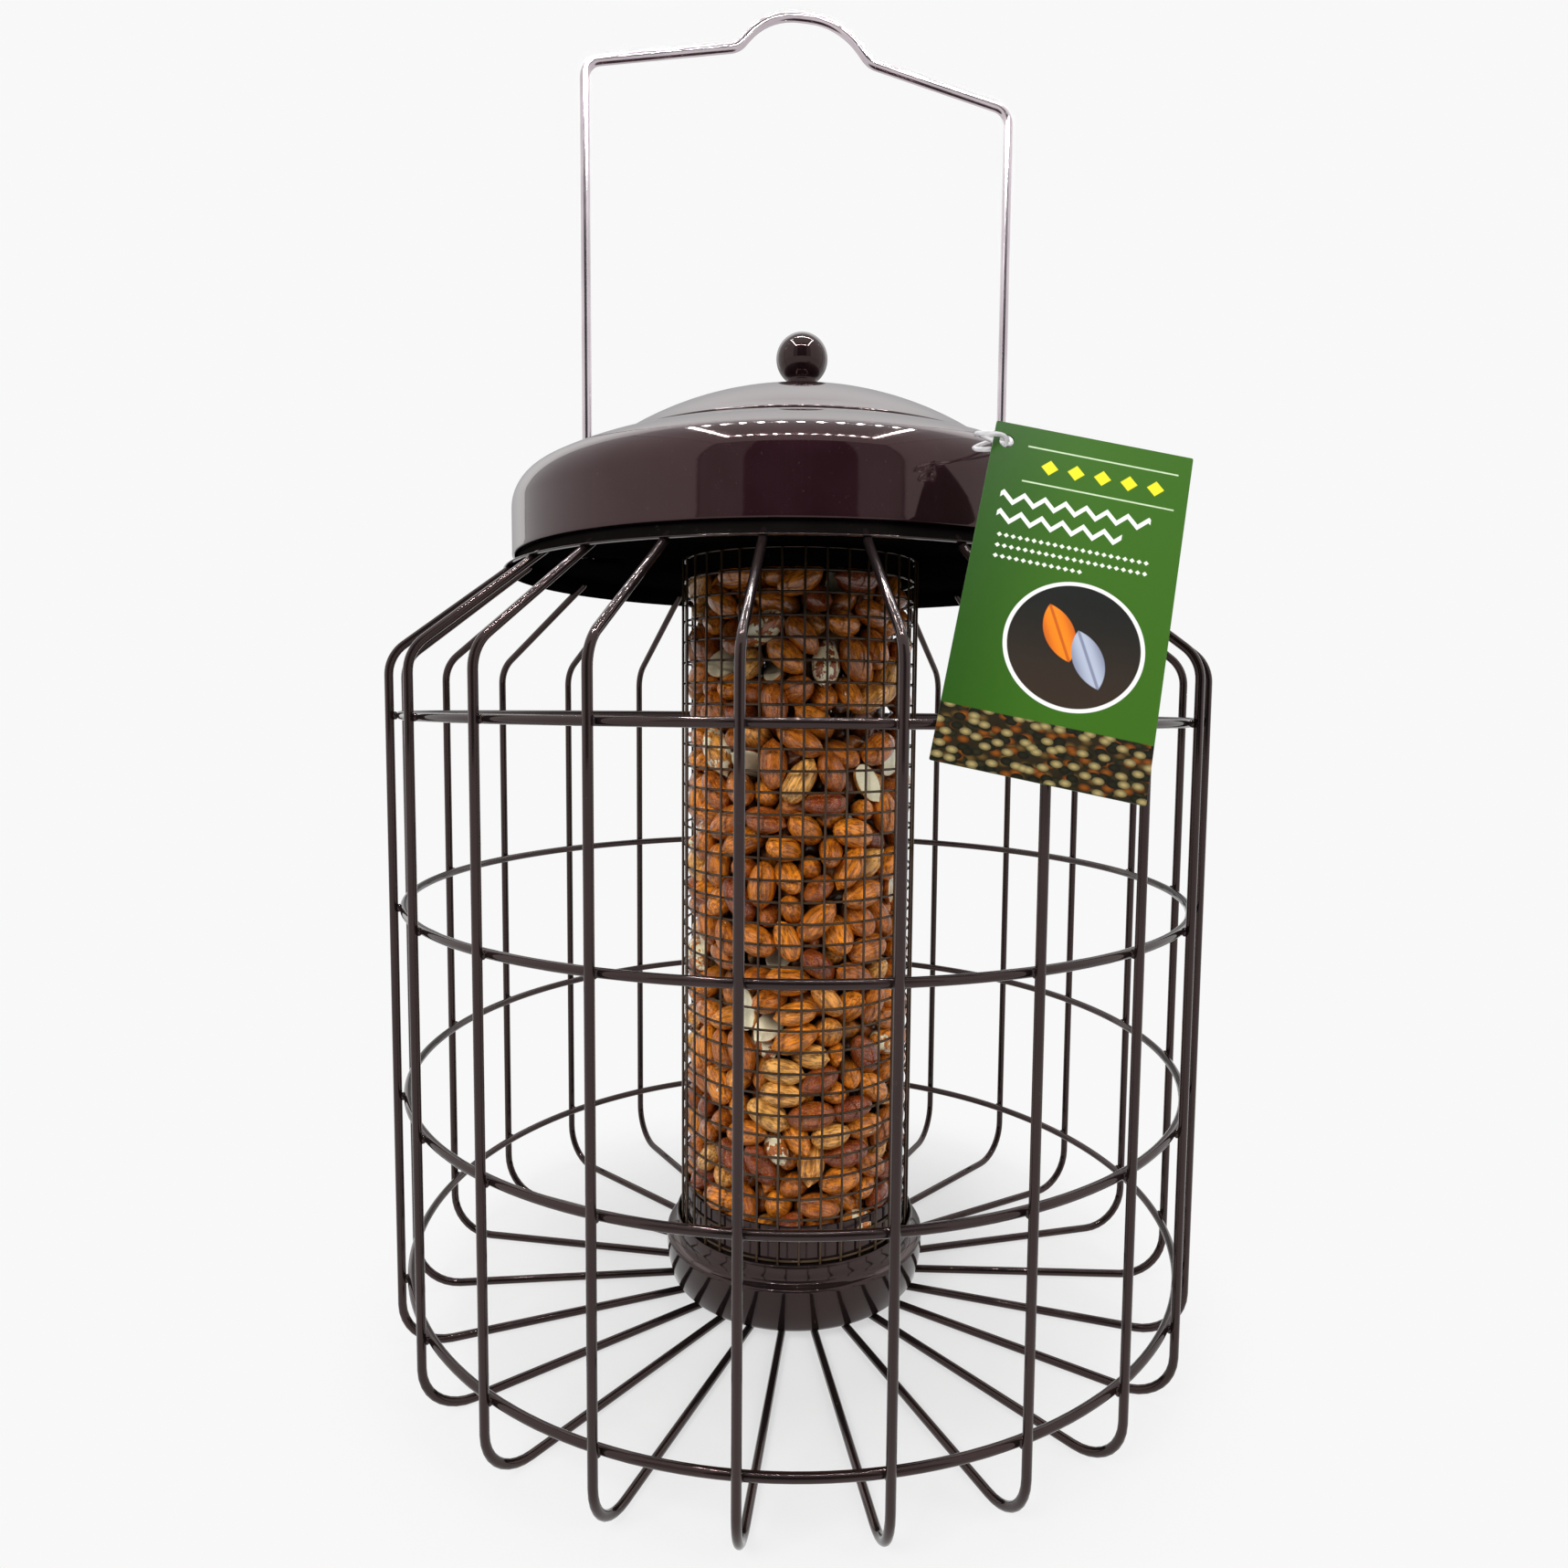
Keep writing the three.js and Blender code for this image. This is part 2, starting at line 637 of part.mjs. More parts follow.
function lidCap() {
  const centre = [0, capTop - capBend];
  const holeAngleDeg = 180 / Math.PI * Math.acos(screwHoleRadius / capBend);
  const innerBend = capBend - SHEET;
  const innerHoleAngleDeg = 180 / Math.PI * Math.acos(screwHoleRadius / innerBend);
  const innerRimAngleDeg = 180 / Math.PI * Math.asin((capFoot - centre[1]) / innerBend);
  const outline = closedOutline([
    ...arc(centre, capBend, holeAngleDeg, capRimAngleDeg, 5),
    ...arc(centre, innerBend, innerRimAngleDeg, innerHoleAngleDeg, 5),
  ]);
  return turned(outline, LID_STEPS);
}

const knobFlat = capTop + SEAT_GAP;
const knobCentre = knobFlat + KNOB_RISE;
const screwTop = knobFlat + SCREW_GRIP_IN_KNOB;

function lidKnob() {
  const neckAngleDeg = -180 / Math.PI * Math.acos(KNOB_NECK_RADIUS / KNOB_RADIUS);
  const ball = arc([0, knobCentre], KNOB_RADIUS, neckAngleDeg, 90, 8);
  ball[ball.length - 1][0] = 0;
  const outline = [
    [0, screwTop + SEAT_GAP],
    [screwHoleRadius, screwTop + SEAT_GAP],
    [screwHoleRadius, knobFlat],
    [KNOB_NECK_RADIUS, knobFlat],
    ...ball,
  ];
  return turned(outline, SMALL_STEPS);
}

const washerTop = seatHeight - SHEET - SEAT_GAP;
const washerFoot = washerTop - WASHER_THICKNESS;

function lidWasher() {
  const outline = closedOutline([
    [screwHoleRadius, washerFoot],
    [WASHER_RADIUS, washerFoot],
    [WASHER_RADIUS, washerTop],
    [screwHoleRadius, washerTop],
  ]);
  return turned(outline, SMALL_STEPS);
}

function knobScrew() {
  const headTop = washerFoot - SEAT_GAP;
  const headFoot = headTop - SCREW_HEAD_HEIGHT;
  const outline = [
    [0, headFoot],
    [SCREW_HEAD_RADIUS / 2, headFoot],
    [SCREW_HEAD_RADIUS, headTop - SCREW_HEAD_HEIGHT / 2],
    [SCREW_HEAD_RADIUS, headTop],
    [SCREW_RADIUS, headTop],
    [SCREW_RADIUS, screwTop],
    [0, screwTop],
  ];
  return turned(outline, SCREW_STEPS);
}

addPiece(feeder, 'lid_pan', lidPan(), ENAMEL);
addPiece(feeder, 'lid_cap', lidCap(), ENAMEL);
addPiece(feeder, 'lid_knob', lidKnob(), ENAMEL);
addPiece(feeder, 'lid_washer', lidWasher(), STEEL);
addPiece(feeder, 'knob_screw', knobScrew(), STEEL);

// Bail handle: feet hooked under the top plate, legs through the lid, a hump to
// hang it by

function bailHandle() {
  const footHeight = plateUnderside - SEAT_GAP - HANDLE_WIRE / 2;
  const half = [
    [HANDLE_FOOT_END_RADIUS, footHeight],
    [HANDLE_LEG_RADIUS, footHeight, HANDLE_FOOT_BEND_RADIUS],
    [HANDLE_LEG_RADIUS, HANDLE_SHOULDER_HEIGHT, HANDLE_SHOULDER_BEND_RADIUS],
    [HANDLE_HUMP_FOOT_RADIUS, HANDLE_HUMP_FOOT_HEIGHT, HANDLE_HUMP_FOOT_BEND_RADIUS],
    [HANDLE_HUMP_HALF_WIDTH, HANDLE_HUMP_HEIGHT, HANDLE_HUMP_BEND_RADIUS],
  ];
  const otherHalf = half.map(([across, height, bend]) => [-across, height, bend]).reverse();
  return bentWire([...half, ...otherHalf], HANDLE_WIRE, HANDLE_SIDES);
}

const handle = addPiece(feeder, 'bail_handle', bailHandle(), BRIGHT_WIRE);
handle.rotation.z = radians(HANDLE_TURN_DEG);

// Hang tag: it leans out from the lid's edge onto the shoulder of a cage wire

const tagFacing = radians(TAG_FACING_DEG);
const tagOut = new THREE.Vector3(Math.sin(tagFacing), -Math.cos(tagFacing), 0);
const tagAside = new THREE.Vector3(Math.cos(tagFacing), Math.sin(tagFacing), 0);
const roofTurn = Math.PI / 2 - roofSlope;
const roofBendCentre = new THREE.Vector2(
  wireCircle - ROOF_BEND_RADIUS,
  roofHeightAt(wireCircle) - ROOF_BEND_RADIUS * Math.tan(roofTurn / 2),
);

// The hole hangs clear of the lid's rim, and the card leans on the wire or the hoop
// that needs the most lean of those it reaches across.
const tagTilt = radians(TAG_TILT_DEG);
const tagHoleHeight = lidFoot + TAG_HOLE_RISE;
const tagHoleOut = Math.sqrt((LID_RADIUS + TAG_RIM_CLEARANCE) ** 2 - TAG_HOLE_ASIDE ** 2);
const topHoopHeight = LOWEST_HOOP_HEIGHT + (HOOP_COUNT - 1) * HOOP_PITCH;
const cornerRadius = wireRadius / Math.cos(Math.PI / WIRE_SIDES);
const tagReach = wireRadius + SEAT_GAP;

function settledLean(contactAt) {
  let lean = 0;
  for (let pass = 0; pass < LEAN_PASSES; pass += 1) {
    const { out, height, bend } = contactAt(lean);
    const [ahead, drop] = [out - tagHoleOut, tagHoleHeight - height];
    const stand = bend + SEAT_GAP + TAG_THICKNESS / 2;
    lean = Math.asin(stand / Math.hypot(ahead, drop)) + Math.atan2(ahead, drop);
  }
  return lean;
}

function leanOnWire(turn) {
  const facing = Math.cos(turn);
  return settledLean((lean) => ({
    out: roofBendCentre.x * facing,
    height: roofBendCentre.y,
    bend: (ROOF_BEND_RADIUS + cornerRadius) * Math.hypot(facing * Math.cos(lean), Math.sin(lean)),
  }));
}

function leanOnHoop() {
  return settledLean((lean) => {
    const down = (tagHoleHeight - topHoopHeight) / Math.cos(lean);
    const edge = TAG_HOLE_ASIDE - (TAG_HOLE_FROM_SIDE + down * Math.sin(tagTilt)) / Math.cos(tagTilt);
    const aside = Math.max(edge - tagReach, 0);
    return { out: Math.sqrt(HOOP_RADIUS ** 2 - aside ** 2), height: topHoopHeight, bend: cornerRadius };
  });
}

function tagLeanOnCage() {
  const across = (x, y) => TAG_HOLE_ASIDE + x * Math.cos(tagTilt) + y * Math.sin(tagTilt);
  const from = across(-TAG_HOLE_FROM_SIDE, TAG_HOLE_FROM_TOP - TAG_HEIGHT);
  const to = across(TAG_WIDTH - TAG_HOLE_FROM_SIDE, TAG_HOLE_FROM_TOP);
  const leans = [leanOnHoop()];
  for (let i = 0; i < CAGE_WIRE_COUNT; i += 1) {
    const turn = radians(CAGE_TURN_DEG + i * 360 / CAGE_WIRE_COUNT) - tagFacing;
    const aside = wireCircle * Math.sin(turn);
    if (Math.cos(turn) > 0 && aside > from - tagReach && aside < to + tagReach) {
      leans.push(leanOnWire(turn));
    }
  }
  return Math.max(...leans);
}

const tagLean = tagLeanOnCage();
const tagHole = new THREE.Vector3(0, 0, tagHoleHeight)
  .addScaledVector(tagOut, tagHoleOut)
  .addScaledVector(tagAside, TAG_HOLE_ASIDE);

function tagCard() {
  const [left, right] = [-TAG_HOLE_FROM_SIDE, TAG_WIDTH - TAG_HOLE_FROM_SIDE];
  const [top, foot] = [TAG_HOLE_FROM_TOP, TAG_HOLE_FROM_TOP - TAG_HEIGHT];
  const round = TAG_CORNER_RADIUS;
  const shape = new THREE.Shape();
  shape.absarc(right - round, top - round, round, 0, Math.PI / 2);
  shape.absarc(left + round, top - round, round, Math.PI / 2, Math.PI);
  shape.absarc(left + round, foot + round, round, Math.PI, 3 * Math.PI / 2);
  shape.absarc(right - round, foot + round, round, 3 * Math.PI / 2, 2 * Math.PI);
  const hole = new THREE.Path();
  hole.absarc(0, 0, TAG_HOLE_RADIUS, 0, 2 * Math.PI, true);
  shape.holes.push(hole);
  const settings = { depth: TAG_THICKNESS, bevelEnabled: false, curveSegments: 4 };
  const card = new THREE.ExtrudeGeometry(shape, settings);
  return closedBody(card.translate(0, 0, -TAG_THICKNESS / 2));
}

const tagTurn = new THREE.Group();
tagTurn.position.copy(tagHole);
tagTurn.rotation.z = tagFacing;
const tagTip = new THREE.Group();
tagTip.rotation.x = Math.PI / 2 - tagLean;
tagTurn.add(tagTip);
feeder.add(tagTurn);
const tag = addPiece(tagTip, 'hang_tag', tagCard(), TAG_CARD);
tag.rotation.z = -tagTilt;

// Tag loop: round the handle leg, over the lid and through the card's hole

function loopStations() {
  const legAngle = radians(HANDLE_TURN_DEG);
  const leg = new THREE.Vector3(Math.cos(legAngle), Math.sin(legAngle), 0)
    .multiplyScalar(HANDLE_LEG_RADIUS);
  const ahead = tagHole.clone().sub(leg).setZ(0).normalize();
  const leaveRadius = shoulderCentre[0] + LID_SHOULDER_RADIUS * LOOP_LEAVE_SHARE;
  const along = leg.dot(ahead);
  const span = Math.sqrt(along ** 2 - leg.lengthSq() + leaveRadius ** 2) - along;
  const side = new THREE.Vector3(-ahead.y, ahead.x, 0);
  const aroundLeg = HANDLE_WIRE / 2 + 2 * SEAT_GAP + LOOP_BEAD_RADIUS;
  const besideCap = (capRadius + HANDLE_LEG_RADIUS - HANDLE_WIRE / 2) / 2;
  const lift = LOOP_LIFT + LOOP_WIRE / 2;
  const heightAt = (place) => lidHeightAt(Math.hypot(place.x, place.y)) + lift;
  const strand = (sign) => {
    const points = [];
    for (let i = 0; i <= LOOP_STEPS; i += 1) {
      const share = i / LOOP_STEPS;
      const spread = sign * THREE.MathUtils.lerp(aroundLeg, LOOP_WIRE, share);
      const place = leg.clone().addScaledVector(ahead, span * share).addScaledVector(side, spread);
      const least = besideCap + (1 + sign) * LOOP_WIRE;
      place.multiplyScalar(Math.max(least / place.length(), 1));
      points.push(place.setZ(heightAt(place)));
    }
    return points;
  };
  const roundBack = [];
  for (let i = 1; i < BEND_STEPS; i += 1) {
    const angle = Math.PI * i / BEND_STEPS;
    const place = leg.clone()
      .addScaledVector(side, -aroundLeg * Math.cos(angle))
      .addScaledVector(ahead, -aroundLeg * Math.sin(angle));
    roundBack.push(place.setZ(heightAt(leg)));
  }
  const normal = tagOut.clone().multiplyScalar(Math.cos(tagLean)).setZ(Math.sin(tagLean));
  const up = tagOut.clone().multiplyScalar(-Math.sin(tagLean)).setZ(Math.cos(tagLean));
  const thread = normal.multiplyScalar(Math.cos(radians(LOOP_THREAD_DEG)))
    .addScaledVector(up, Math.sin(radians(LOOP_THREAD_DEG)));
  const nearCard = (aside, out) => tagHole.clone()
    .addScaledVector(tagAside, -aside)
    .addScaledVector(thread, out);
  const throughHole = [
    nearCard(LOOP_SIDE_REACH, LOOP_THREAD_REACH),
    nearCard(LOOP_THREAD_REACH, LOOP_THREAD_REACH),
    nearCard(0, 0),
    nearCard(LOOP_THREAD_REACH, -LOOP_THREAD_REACH),
    nearCard(LOOP_SIDE_REACH, -LOOP_THREAD_REACH),
  ];
  return { left: strand(1), right: strand(-1), roundBack, throughHole };
}

function tagLoop() {
  const { left, right, roundBack, throughHole } = loopStations();
  const stations = [...left, ...throughHole, ...right.reverse(), ...roundBack, left[0]];
  const tube = wireAlong(stations, LOOP_WIRE, WIRE_SIDES, new THREE.Vector3(0, 0, 1));
  const bead = new THREE.SphereGeometry(LOOP_BEAD_RADIUS, 8, 6);
  const lock = stations[0];
  bead.translate(lock.x, lock.y, lock.z);
  return toGeometry(toSolid(tube).add(toSolid(bead)));
}

addPiece(feeder, 'tag_loop', tagLoop(), CLEAR_PLASTIC);

export default feeder;
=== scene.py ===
"""Looks of the squirrel proof bird feeder: enamelled wire cage, mesh tube full of peanuts, lid,
bright bail handle and card tag. Sizes are in millimetres until a mesh is made."""

import random
from math import acos, cos, degrees, exp, hypot, pi, radians, sin, sqrt, tan

import bmesh
import bpy
import numpy as np
from mathutils import Matrix, Vector
from numpy.linalg import norm


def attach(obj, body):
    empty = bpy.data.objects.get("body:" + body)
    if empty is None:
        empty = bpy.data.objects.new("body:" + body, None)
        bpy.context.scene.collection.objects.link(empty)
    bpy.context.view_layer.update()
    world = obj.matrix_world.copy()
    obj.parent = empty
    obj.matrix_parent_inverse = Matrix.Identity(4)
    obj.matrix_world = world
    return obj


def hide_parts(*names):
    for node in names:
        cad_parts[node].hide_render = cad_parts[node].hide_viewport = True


MM = 0.001
TINY = 1e-6
rng = random.Random(23)

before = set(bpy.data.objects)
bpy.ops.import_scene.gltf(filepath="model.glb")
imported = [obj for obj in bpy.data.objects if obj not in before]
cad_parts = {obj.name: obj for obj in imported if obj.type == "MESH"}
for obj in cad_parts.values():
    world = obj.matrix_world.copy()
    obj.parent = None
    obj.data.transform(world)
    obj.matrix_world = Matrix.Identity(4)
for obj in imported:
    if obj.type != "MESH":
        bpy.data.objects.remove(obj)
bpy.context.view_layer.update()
scene = bpy.context.scene

# Sizes in mm, as in the CAD model.
SHEET = 0.8

CAGE_WIRES = 23
CAGE_TURN = radians(-5.6 - 90)
WIRE_R = 1.1
WIRE_CIRCLE = 112.5
WIRE_FLOOR_END, WIRE_ROOF_END = 22, 78
FLOOR_BEND, ROOF_BEND = 12.5, 10
ROOF_SLOPE = radians(38)
HOOP_R = 110.0
HOOP_HEIGHTS = [20.3 + 50 * i for i in range(4)]

PLATE_HOLE_R, PLATE_ROW_R = 35.4, 60
PLATE_WALL = 80.1
PLATE_TOP = 215.5
PLATE_CORNER = 1.2
LIP_R, LIP_Z = 83.5, 209.7
WIRE_AT_LIP = LIP_Z - 0.3 - WIRE_R / cos(ROOF_SLOPE)

TUBE_R = 34.2
TUBE_FOOT, TUBE_TOP = 4.0, 215.5

CUP_FOOT_R, CUP_FOOT_Z = 33.8, 2.5
CUP_BELLY_R, CUP_BELLY_Z = 38.8, 12
CUP_BEAD_R, CUP_BEAD_Z = 38.0, 15.3
CUP_NECK_R, CUP_TOP = 35.9, 21.3
LINER_R, LINER_FOOT_Z, LINER_TOP = 33.0, 3.6, 31
COLLAR_R, COLLAR_FOOT = 33.05, 210.1
FLANGE_R, FLANGE_Z = 40, 215.8

LID_FOOT = 213.41
LID_R = 81.3
SHOULDER_R = 11.2
SHOULDER = (LID_R - SHOULDER_R, LID_FOOT + 12.8, SHOULDER_R)
SHOULDER_ARC_DEG = 60.7
SHOULDER_ARC = radians(SHOULDER_ARC_DEG)
DOME_R = 80.2
DOME = (SHOULDER[0] - (DOME_R - SHOULDER_R) * cos(SHOULDER_ARC),
        SHOULDER[1] - (DOME_R - SHOULDER_R) * sin(SHOULDER_ARC))
SEAT_R, SEAT_ROW_R, SEAT_Z = 58.2, 20, 243.2
SKIRT_ROW_Z = 220
SCREW_HOLE_R = 2.3
CAP_R, CAP_FOOT, CAP_RISE = 57.2, 243.5, 19.3
CAP_BEND = (CAP_R ** 2 + CAP_RISE ** 2) / (2 * CAP_RISE)
KNOB_Z, KNOB_R, KNOB_NECK_R = 273.45, 7.4, 4.4
KNOB_FOOT = CAP_FOOT + CAP_RISE + 0.3
KNOB_BORE = 6.8

HANDLE_TURN = radians(10)
HANDLE_WIRE_R = 1.3
HANDLE_LEG_R = 61.0
HANDLE_FOOT_END, HANDLE_FOOT_Z = 52, 213.1
HANDLE_CORNER_Z = 348.3
HUMP_FOOT, HUMP_TOP = (19, 356.9), (10.5, 367)
PLATE_LEG_HOLE, LID_LEG_HOLE = 1.75, 2.0

TAG_HOLE = Vector((42.2, -87.672, 228.112))
TAG_LEAN, TAG_TILT = radians(20.4086), radians(12.3)
TAG_W, TAG_H, TAG_HALF_THICK = 40.7, 75.3, 0.25
TAG_HOLE_X, TAG_HOLE_Y, TAG_HOLE_R = 2.8, 70.9, 1.5
TAG_CORNER = 0.35
LOOP_R, LOOP_BEAD_R = 0.5, 1.5
LOOP_LEG_GAP = 0.6
LOOP_LIFT = 1.4


def full_turn(count):
    return [2 * pi * k / count for k in range(count)]


def on_circle(radius, angle, height=0.0):
    return (radius * cos(angle), radius * sin(angle), height)


def sideways(angle):
    return (-sin(angle), cos(angle), 0)


LEG_SPOTS = [on_circle(HANDLE_LEG_R * side, HANDLE_TURN) for side in (1, -1)]


def roof_height(radius):
    return WIRE_AT_LIP + (LIP_R - radius) * tan(ROOF_SLOPE)


def lid_height(radius):
    on_dome = DOME[0] + DOME_R * cos(SHOULDER_ARC)
    cx, cz, bend = (DOME[0], DOME[1], DOME_R) if radius < on_dome else SHOULDER
    reach = min(radius - cx, bend)
    return cz + sqrt(bend * bend - reach * reach)


# Mesh helpers.
def add_object(name, data):
    obj = bpy.data.objects.new(name, data)
    scene.collection.objects.link(obj)
    return obj


def add_mesh(name, verts, faces, material, smooth=True):
    mesh = bpy.data.meshes.new(name)
    mesh.from_pydata([tuple(v) for v in np.asarray(verts, float) * MM], [], faces)
    mesh.validate()
    if smooth:
        mesh.shade_smooth()
    mesh.materials.append(material)
    return add_object(name, mesh)


def store(mesh, name, kind, values):
    """Keeps a vector or a color of every vertex, for a material to read."""
    made = mesh.attributes.new(name, "FLOAT_" + kind.upper(), "POINT")
    made.data.foreach_set(kind, np.asarray(values, np.float32).ravel())


def place(obj, body, slot, *nodes):
    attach(obj, body)
    if nodes:
        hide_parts(*nodes)
    return obj


def piece(name, shape, material, *nodes, body="feeder", slot="brown_enamel"):
    """Makes an object of (verts, faces) that replaces the named CAD nodes."""
    return place(add_mesh(name, *shape, material), body, slot, *nodes)


def arc(cx, cz, radius, start, end, steps):
    """Points of an arc, angles in degrees."""
    turns = np.radians(np.linspace(start, end, steps + 1))
    return [(cx + radius * cos(a), cz + radius * sin(a)) for a in turns]


def lathe(outline, segments, closed=True):
    """Spins (radius, height) pairs round Z. A point at radius 0 becomes one vertex."""
    verts, rows = [], []
    for radius, height in outline:
        if radius < TINY:
            rows.append([len(verts)] * segments)
            verts.append((0, 0, height))
            continue
        rows.append(list(range(len(verts), len(verts) + segments)))
        verts.extend(on_circle(radius, a, height) for a in full_turn(segments))
    faces = []
    pairs = list(zip(rows, rows[1:])) + ([(rows[-1], rows[0])] if closed else [])
    for low, high in pairs:
        for k in range(segments):
            n = (k + 1) % segments
            face = list(dict.fromkeys((low[k], low[n], high[n], high[k])))
            if len(face) > 2:
                faces.append(face)
    return verts, faces


def bent(corners, steps):
    """Rounds the corners of a wire in a plane: corners are (across, height, bend radius)."""
    points = []
    flat = [np.array(c[:2], float) for c in corners]
    for i, corner in enumerate(corners):
        if i in (0, len(corners) - 1):
            points.append(flat[i])
            continue
        back = (flat[i - 1] - flat[i]) / norm(flat[i - 1] - flat[i])
        ahead = (flat[i + 1] - flat[i]) / norm(flat[i + 1] - flat[i])
        half = acos(np.clip(back @ ahead, -1, 1)) / 2
        middle = (back + ahead) / norm(back + ahead)
        centre = flat[i] + middle * corner[2] / sin(half)
        start = flat[i] + back * corner[2] / tan(half) - centre
        sign = np.sign(start[0] * -middle[1] + start[1] * middle[0])
        for turn in np.linspace(0, sign * (pi - 2 * half), steps + 1):
            c, s = cos(turn), sin(turn)
            points.append(centre + (start[0] * c - start[1] * s, start[0] * s + start[1] * c))
    return points


def round_end(ring, sign):
    """Three shrinking rings past the end of a wire."""
    point, radius, tangent, normal = ring
    return [(point + tangent * sign * radius * sin(a), radius * cos(a), tangent, normal)
            for a in (radians(30), radians(60), radians(84))]


def rings_along(points, radius, across, closed):
    """(point, radius, tangent, normal) for every point of a wire, without twist."""
    count = len(points)
    rings = []
    normal = Vector(across)
    for i, point in enumerate(points):
        before = points[i - 1] if closed or i else point
        after = points[(i + 1) % count] if closed or i < count - 1 else point
        tangent = ((point - before).normalized() + (after - point).normalized()).normalized()
        normal = (normal - tangent * normal.dot(tangent)).normalized()
        rings.append((point, radius, tangent, normal.copy()))
    return rings


def wall_faces(rings, around, closed=False):
    """Quads between rings of vertices, with end faces unless it is closed."""
    faces = []
    for i in range(rings if closed else rings - 1):
        n = (i + 1) % rings
        for k in range(around):
            m = (k + 1) % around
            faces.append((i * around + k, i * around + m, n * around + m, n * around + k))
    if not closed:
        faces.append(tuple(range(around))[::-1])
        faces.append(tuple((rings - 1) * around + k for k in range(around)))
    return faces


def sweep(points, radius, sides, across=(0, 0, 1), closed=False):
    """A round wire along points, with rounded ends unless it is closed."""
    rings = rings_along([Vector(p) for p in points], radius, across, closed)
    if not closed:
        rings = round_end(rings[0], -1)[::-1] + rings + round_end(rings[-1], 1)
    verts = []
    for point, r, tangent, normal in rings:
        side = tangent.cross(normal)
        verts.extend(point + normal * (r * cos(a)) + side * (r * sin(a)) for a in full_turn(sides))
    return verts, wall_faces(len(rings), sides, closed)


def merge(parts):
    """Joins (verts, faces) pairs into one."""
    verts, faces = [], []
    for part_verts, part_faces in parts:
        shift = len(verts)
        verts.extend(part_verts)
        faces.extend(tuple(v + shift for v in face) for face in part_faces)
    return verts, faces


def blob(centre, axes, sizes, rows=6, around=10):
    """An ellipsoid on three axes."""
    half_circle = [(sin(t), -cos(t)) for t in np.linspace(0, pi, rows + 1)]
    verts, faces = lathe(half_circle, around, closed=False)
    basis = np.array(axes, float) * np.array(sizes, float)[:, None]
    return [np.array(centre, float) + np.array(v) @ basis for v in verts], faces


def turned_points(points, angle):
    """(across, height) pairs in the upright plane at an angle round Z."""
    return [on_circle(across, angle, height) for across, height in points]


def drill_leg_holes(obj, radius, low, high):
    """Cuts the two upright holes that the handle's legs go through."""
    for x, y, _ in LEG_SPOTS:
        verts, faces = lathe([(0, low), (radius, low), (radius, high), (0, high)], 32, closed=False)
        tool = add_mesh("drill", [(vx + x, vy + y, vz) for vx, vy, vz in verts], faces, obj.data.materials[0])
        cut = obj.modifiers.new("cut", "BOOLEAN")
        cut.operation, cut.solver, cut.object = "DIFFERENCE", "EXACT", tool
        bpy.context.view_layer.update()
        done = bpy.data.meshes.new_from_object(obj.evaluated_get(bpy.context.evaluated_depsgraph_get()))
        obj.modifiers.clear()
        obj.data = done
        bpy.data.objects.remove(tool)


# Material helpers.
class Nodes:
    """The node tree of a material or a world, with short calls for the nodes used here."""

    def __init__(self, owner):
        self.material = owner
        owner.use_nodes = True
        self.tree = owner.node_tree
        self.shader = self.tree.nodes.get("Principled BSDF")

    def node(self, kind, inputs=(), **settings):
        """A new node with its properties set and its inputs linked or set."""
        made = self.tree.nodes.new("ShaderNode" + kind)
        for key, value in settings.items():
            setattr(made, key, value)
        for key, value in dict(inputs).items():
            self.feed(value, made.inputs[key])
        return made

    def feed(self, value, target):
        if isinstance(value, bpy.types.NodeSocket):
            self.tree.links.new(value, target)
        else:
            target.default_value = value

    def math(self, operation, *values):
        return self.node("Math", enumerate(values), operation=operation).outputs[0]

    def plus(self, a, b):
        return self.math("ADD", a, b)

    def minus(self, a, b):
        return self.math("SUBTRACT", a, b)

    def times(self, a, b):
        return self.math("MULTIPLY", a, b)

    def size_of(self, value):
        return self.math("ABSOLUTE", value)

    def larger(self, a, b):
        return self.math("MAXIMUM", a, b)

    def mix(self, factor, a, b):
        """Colour a, or colour b where factor is 1."""
        a, b = (value if isinstance(value, bpy.types.NodeSocket) else (*value, 1) for value in (a, b))
        return self.node("Mix", {0: factor, 6: a, 7: b}, data_type="RGBA").outputs[2]

    def blend(self, factor, a, b):
        """Shader a, or shader b where factor is 1."""
        return self.node("MixShader", enumerate((factor, a, b))).outputs[0]

    def scaled(self, source, scale):
        return self.node("Mapping", {0: source, "Scale": scale}).outputs[0]

    def noise(self, spot, scale, detail=2.0, rough=0.5, distortion=0.0):
        inputs = {"Vector": spot, "Scale": scale, "Detail": detail, "Roughness": rough,
                  "Distortion": distortion}
        return self.node("TexNoise", inputs).outputs["Fac"]

    def uneven(self, base, share, spot, scale, detail=2.0, rough=0.5):
        """A value that rises above base by a share of noise."""
        return self.plus(base, self.times(self.noise(spot, scale, detail, rough), share))

    def step(self, value, low, high):
        """0 below low, 1 above high, smooth between."""
        made = self.node("MapRange", enumerate((value, low, high)), interpolation_type="SMOOTHSTEP")
        return made.outputs[0]

    def fall(self, value, low, high):
        """1 below low, 0 above high, smooth between."""
        return self.minus(1.0, self.step(value, low, high))

    def bump(self, height, strength, distance=0.0001):
        made = self.node("Bump", {"Strength": strength, "Distance": distance, "Height": height})
        self.set(Normal=made.outputs[0])

    def object_place(self):
        return self.node("TexCoord").outputs["Object"]

    def attribute(self, name, output):
        return self.node("Attribute", attribute_name=name).outputs[output]

    def parts(self, vector):
        return list(self.node("SeparateXYZ", {0: vector}).outputs)

    def length(self, vector):
        return self.node("VectorMath", {0: vector}, operation="LENGTH").outputs["Value"]

    def set(self, **values):
        for key, value in values.items():
            self.feed(value, self.shader.inputs[key.replace("_", " ")])


def new_material(name):
    m = Nodes(bpy.data.materials.new(name))
    return m, m.object_place()


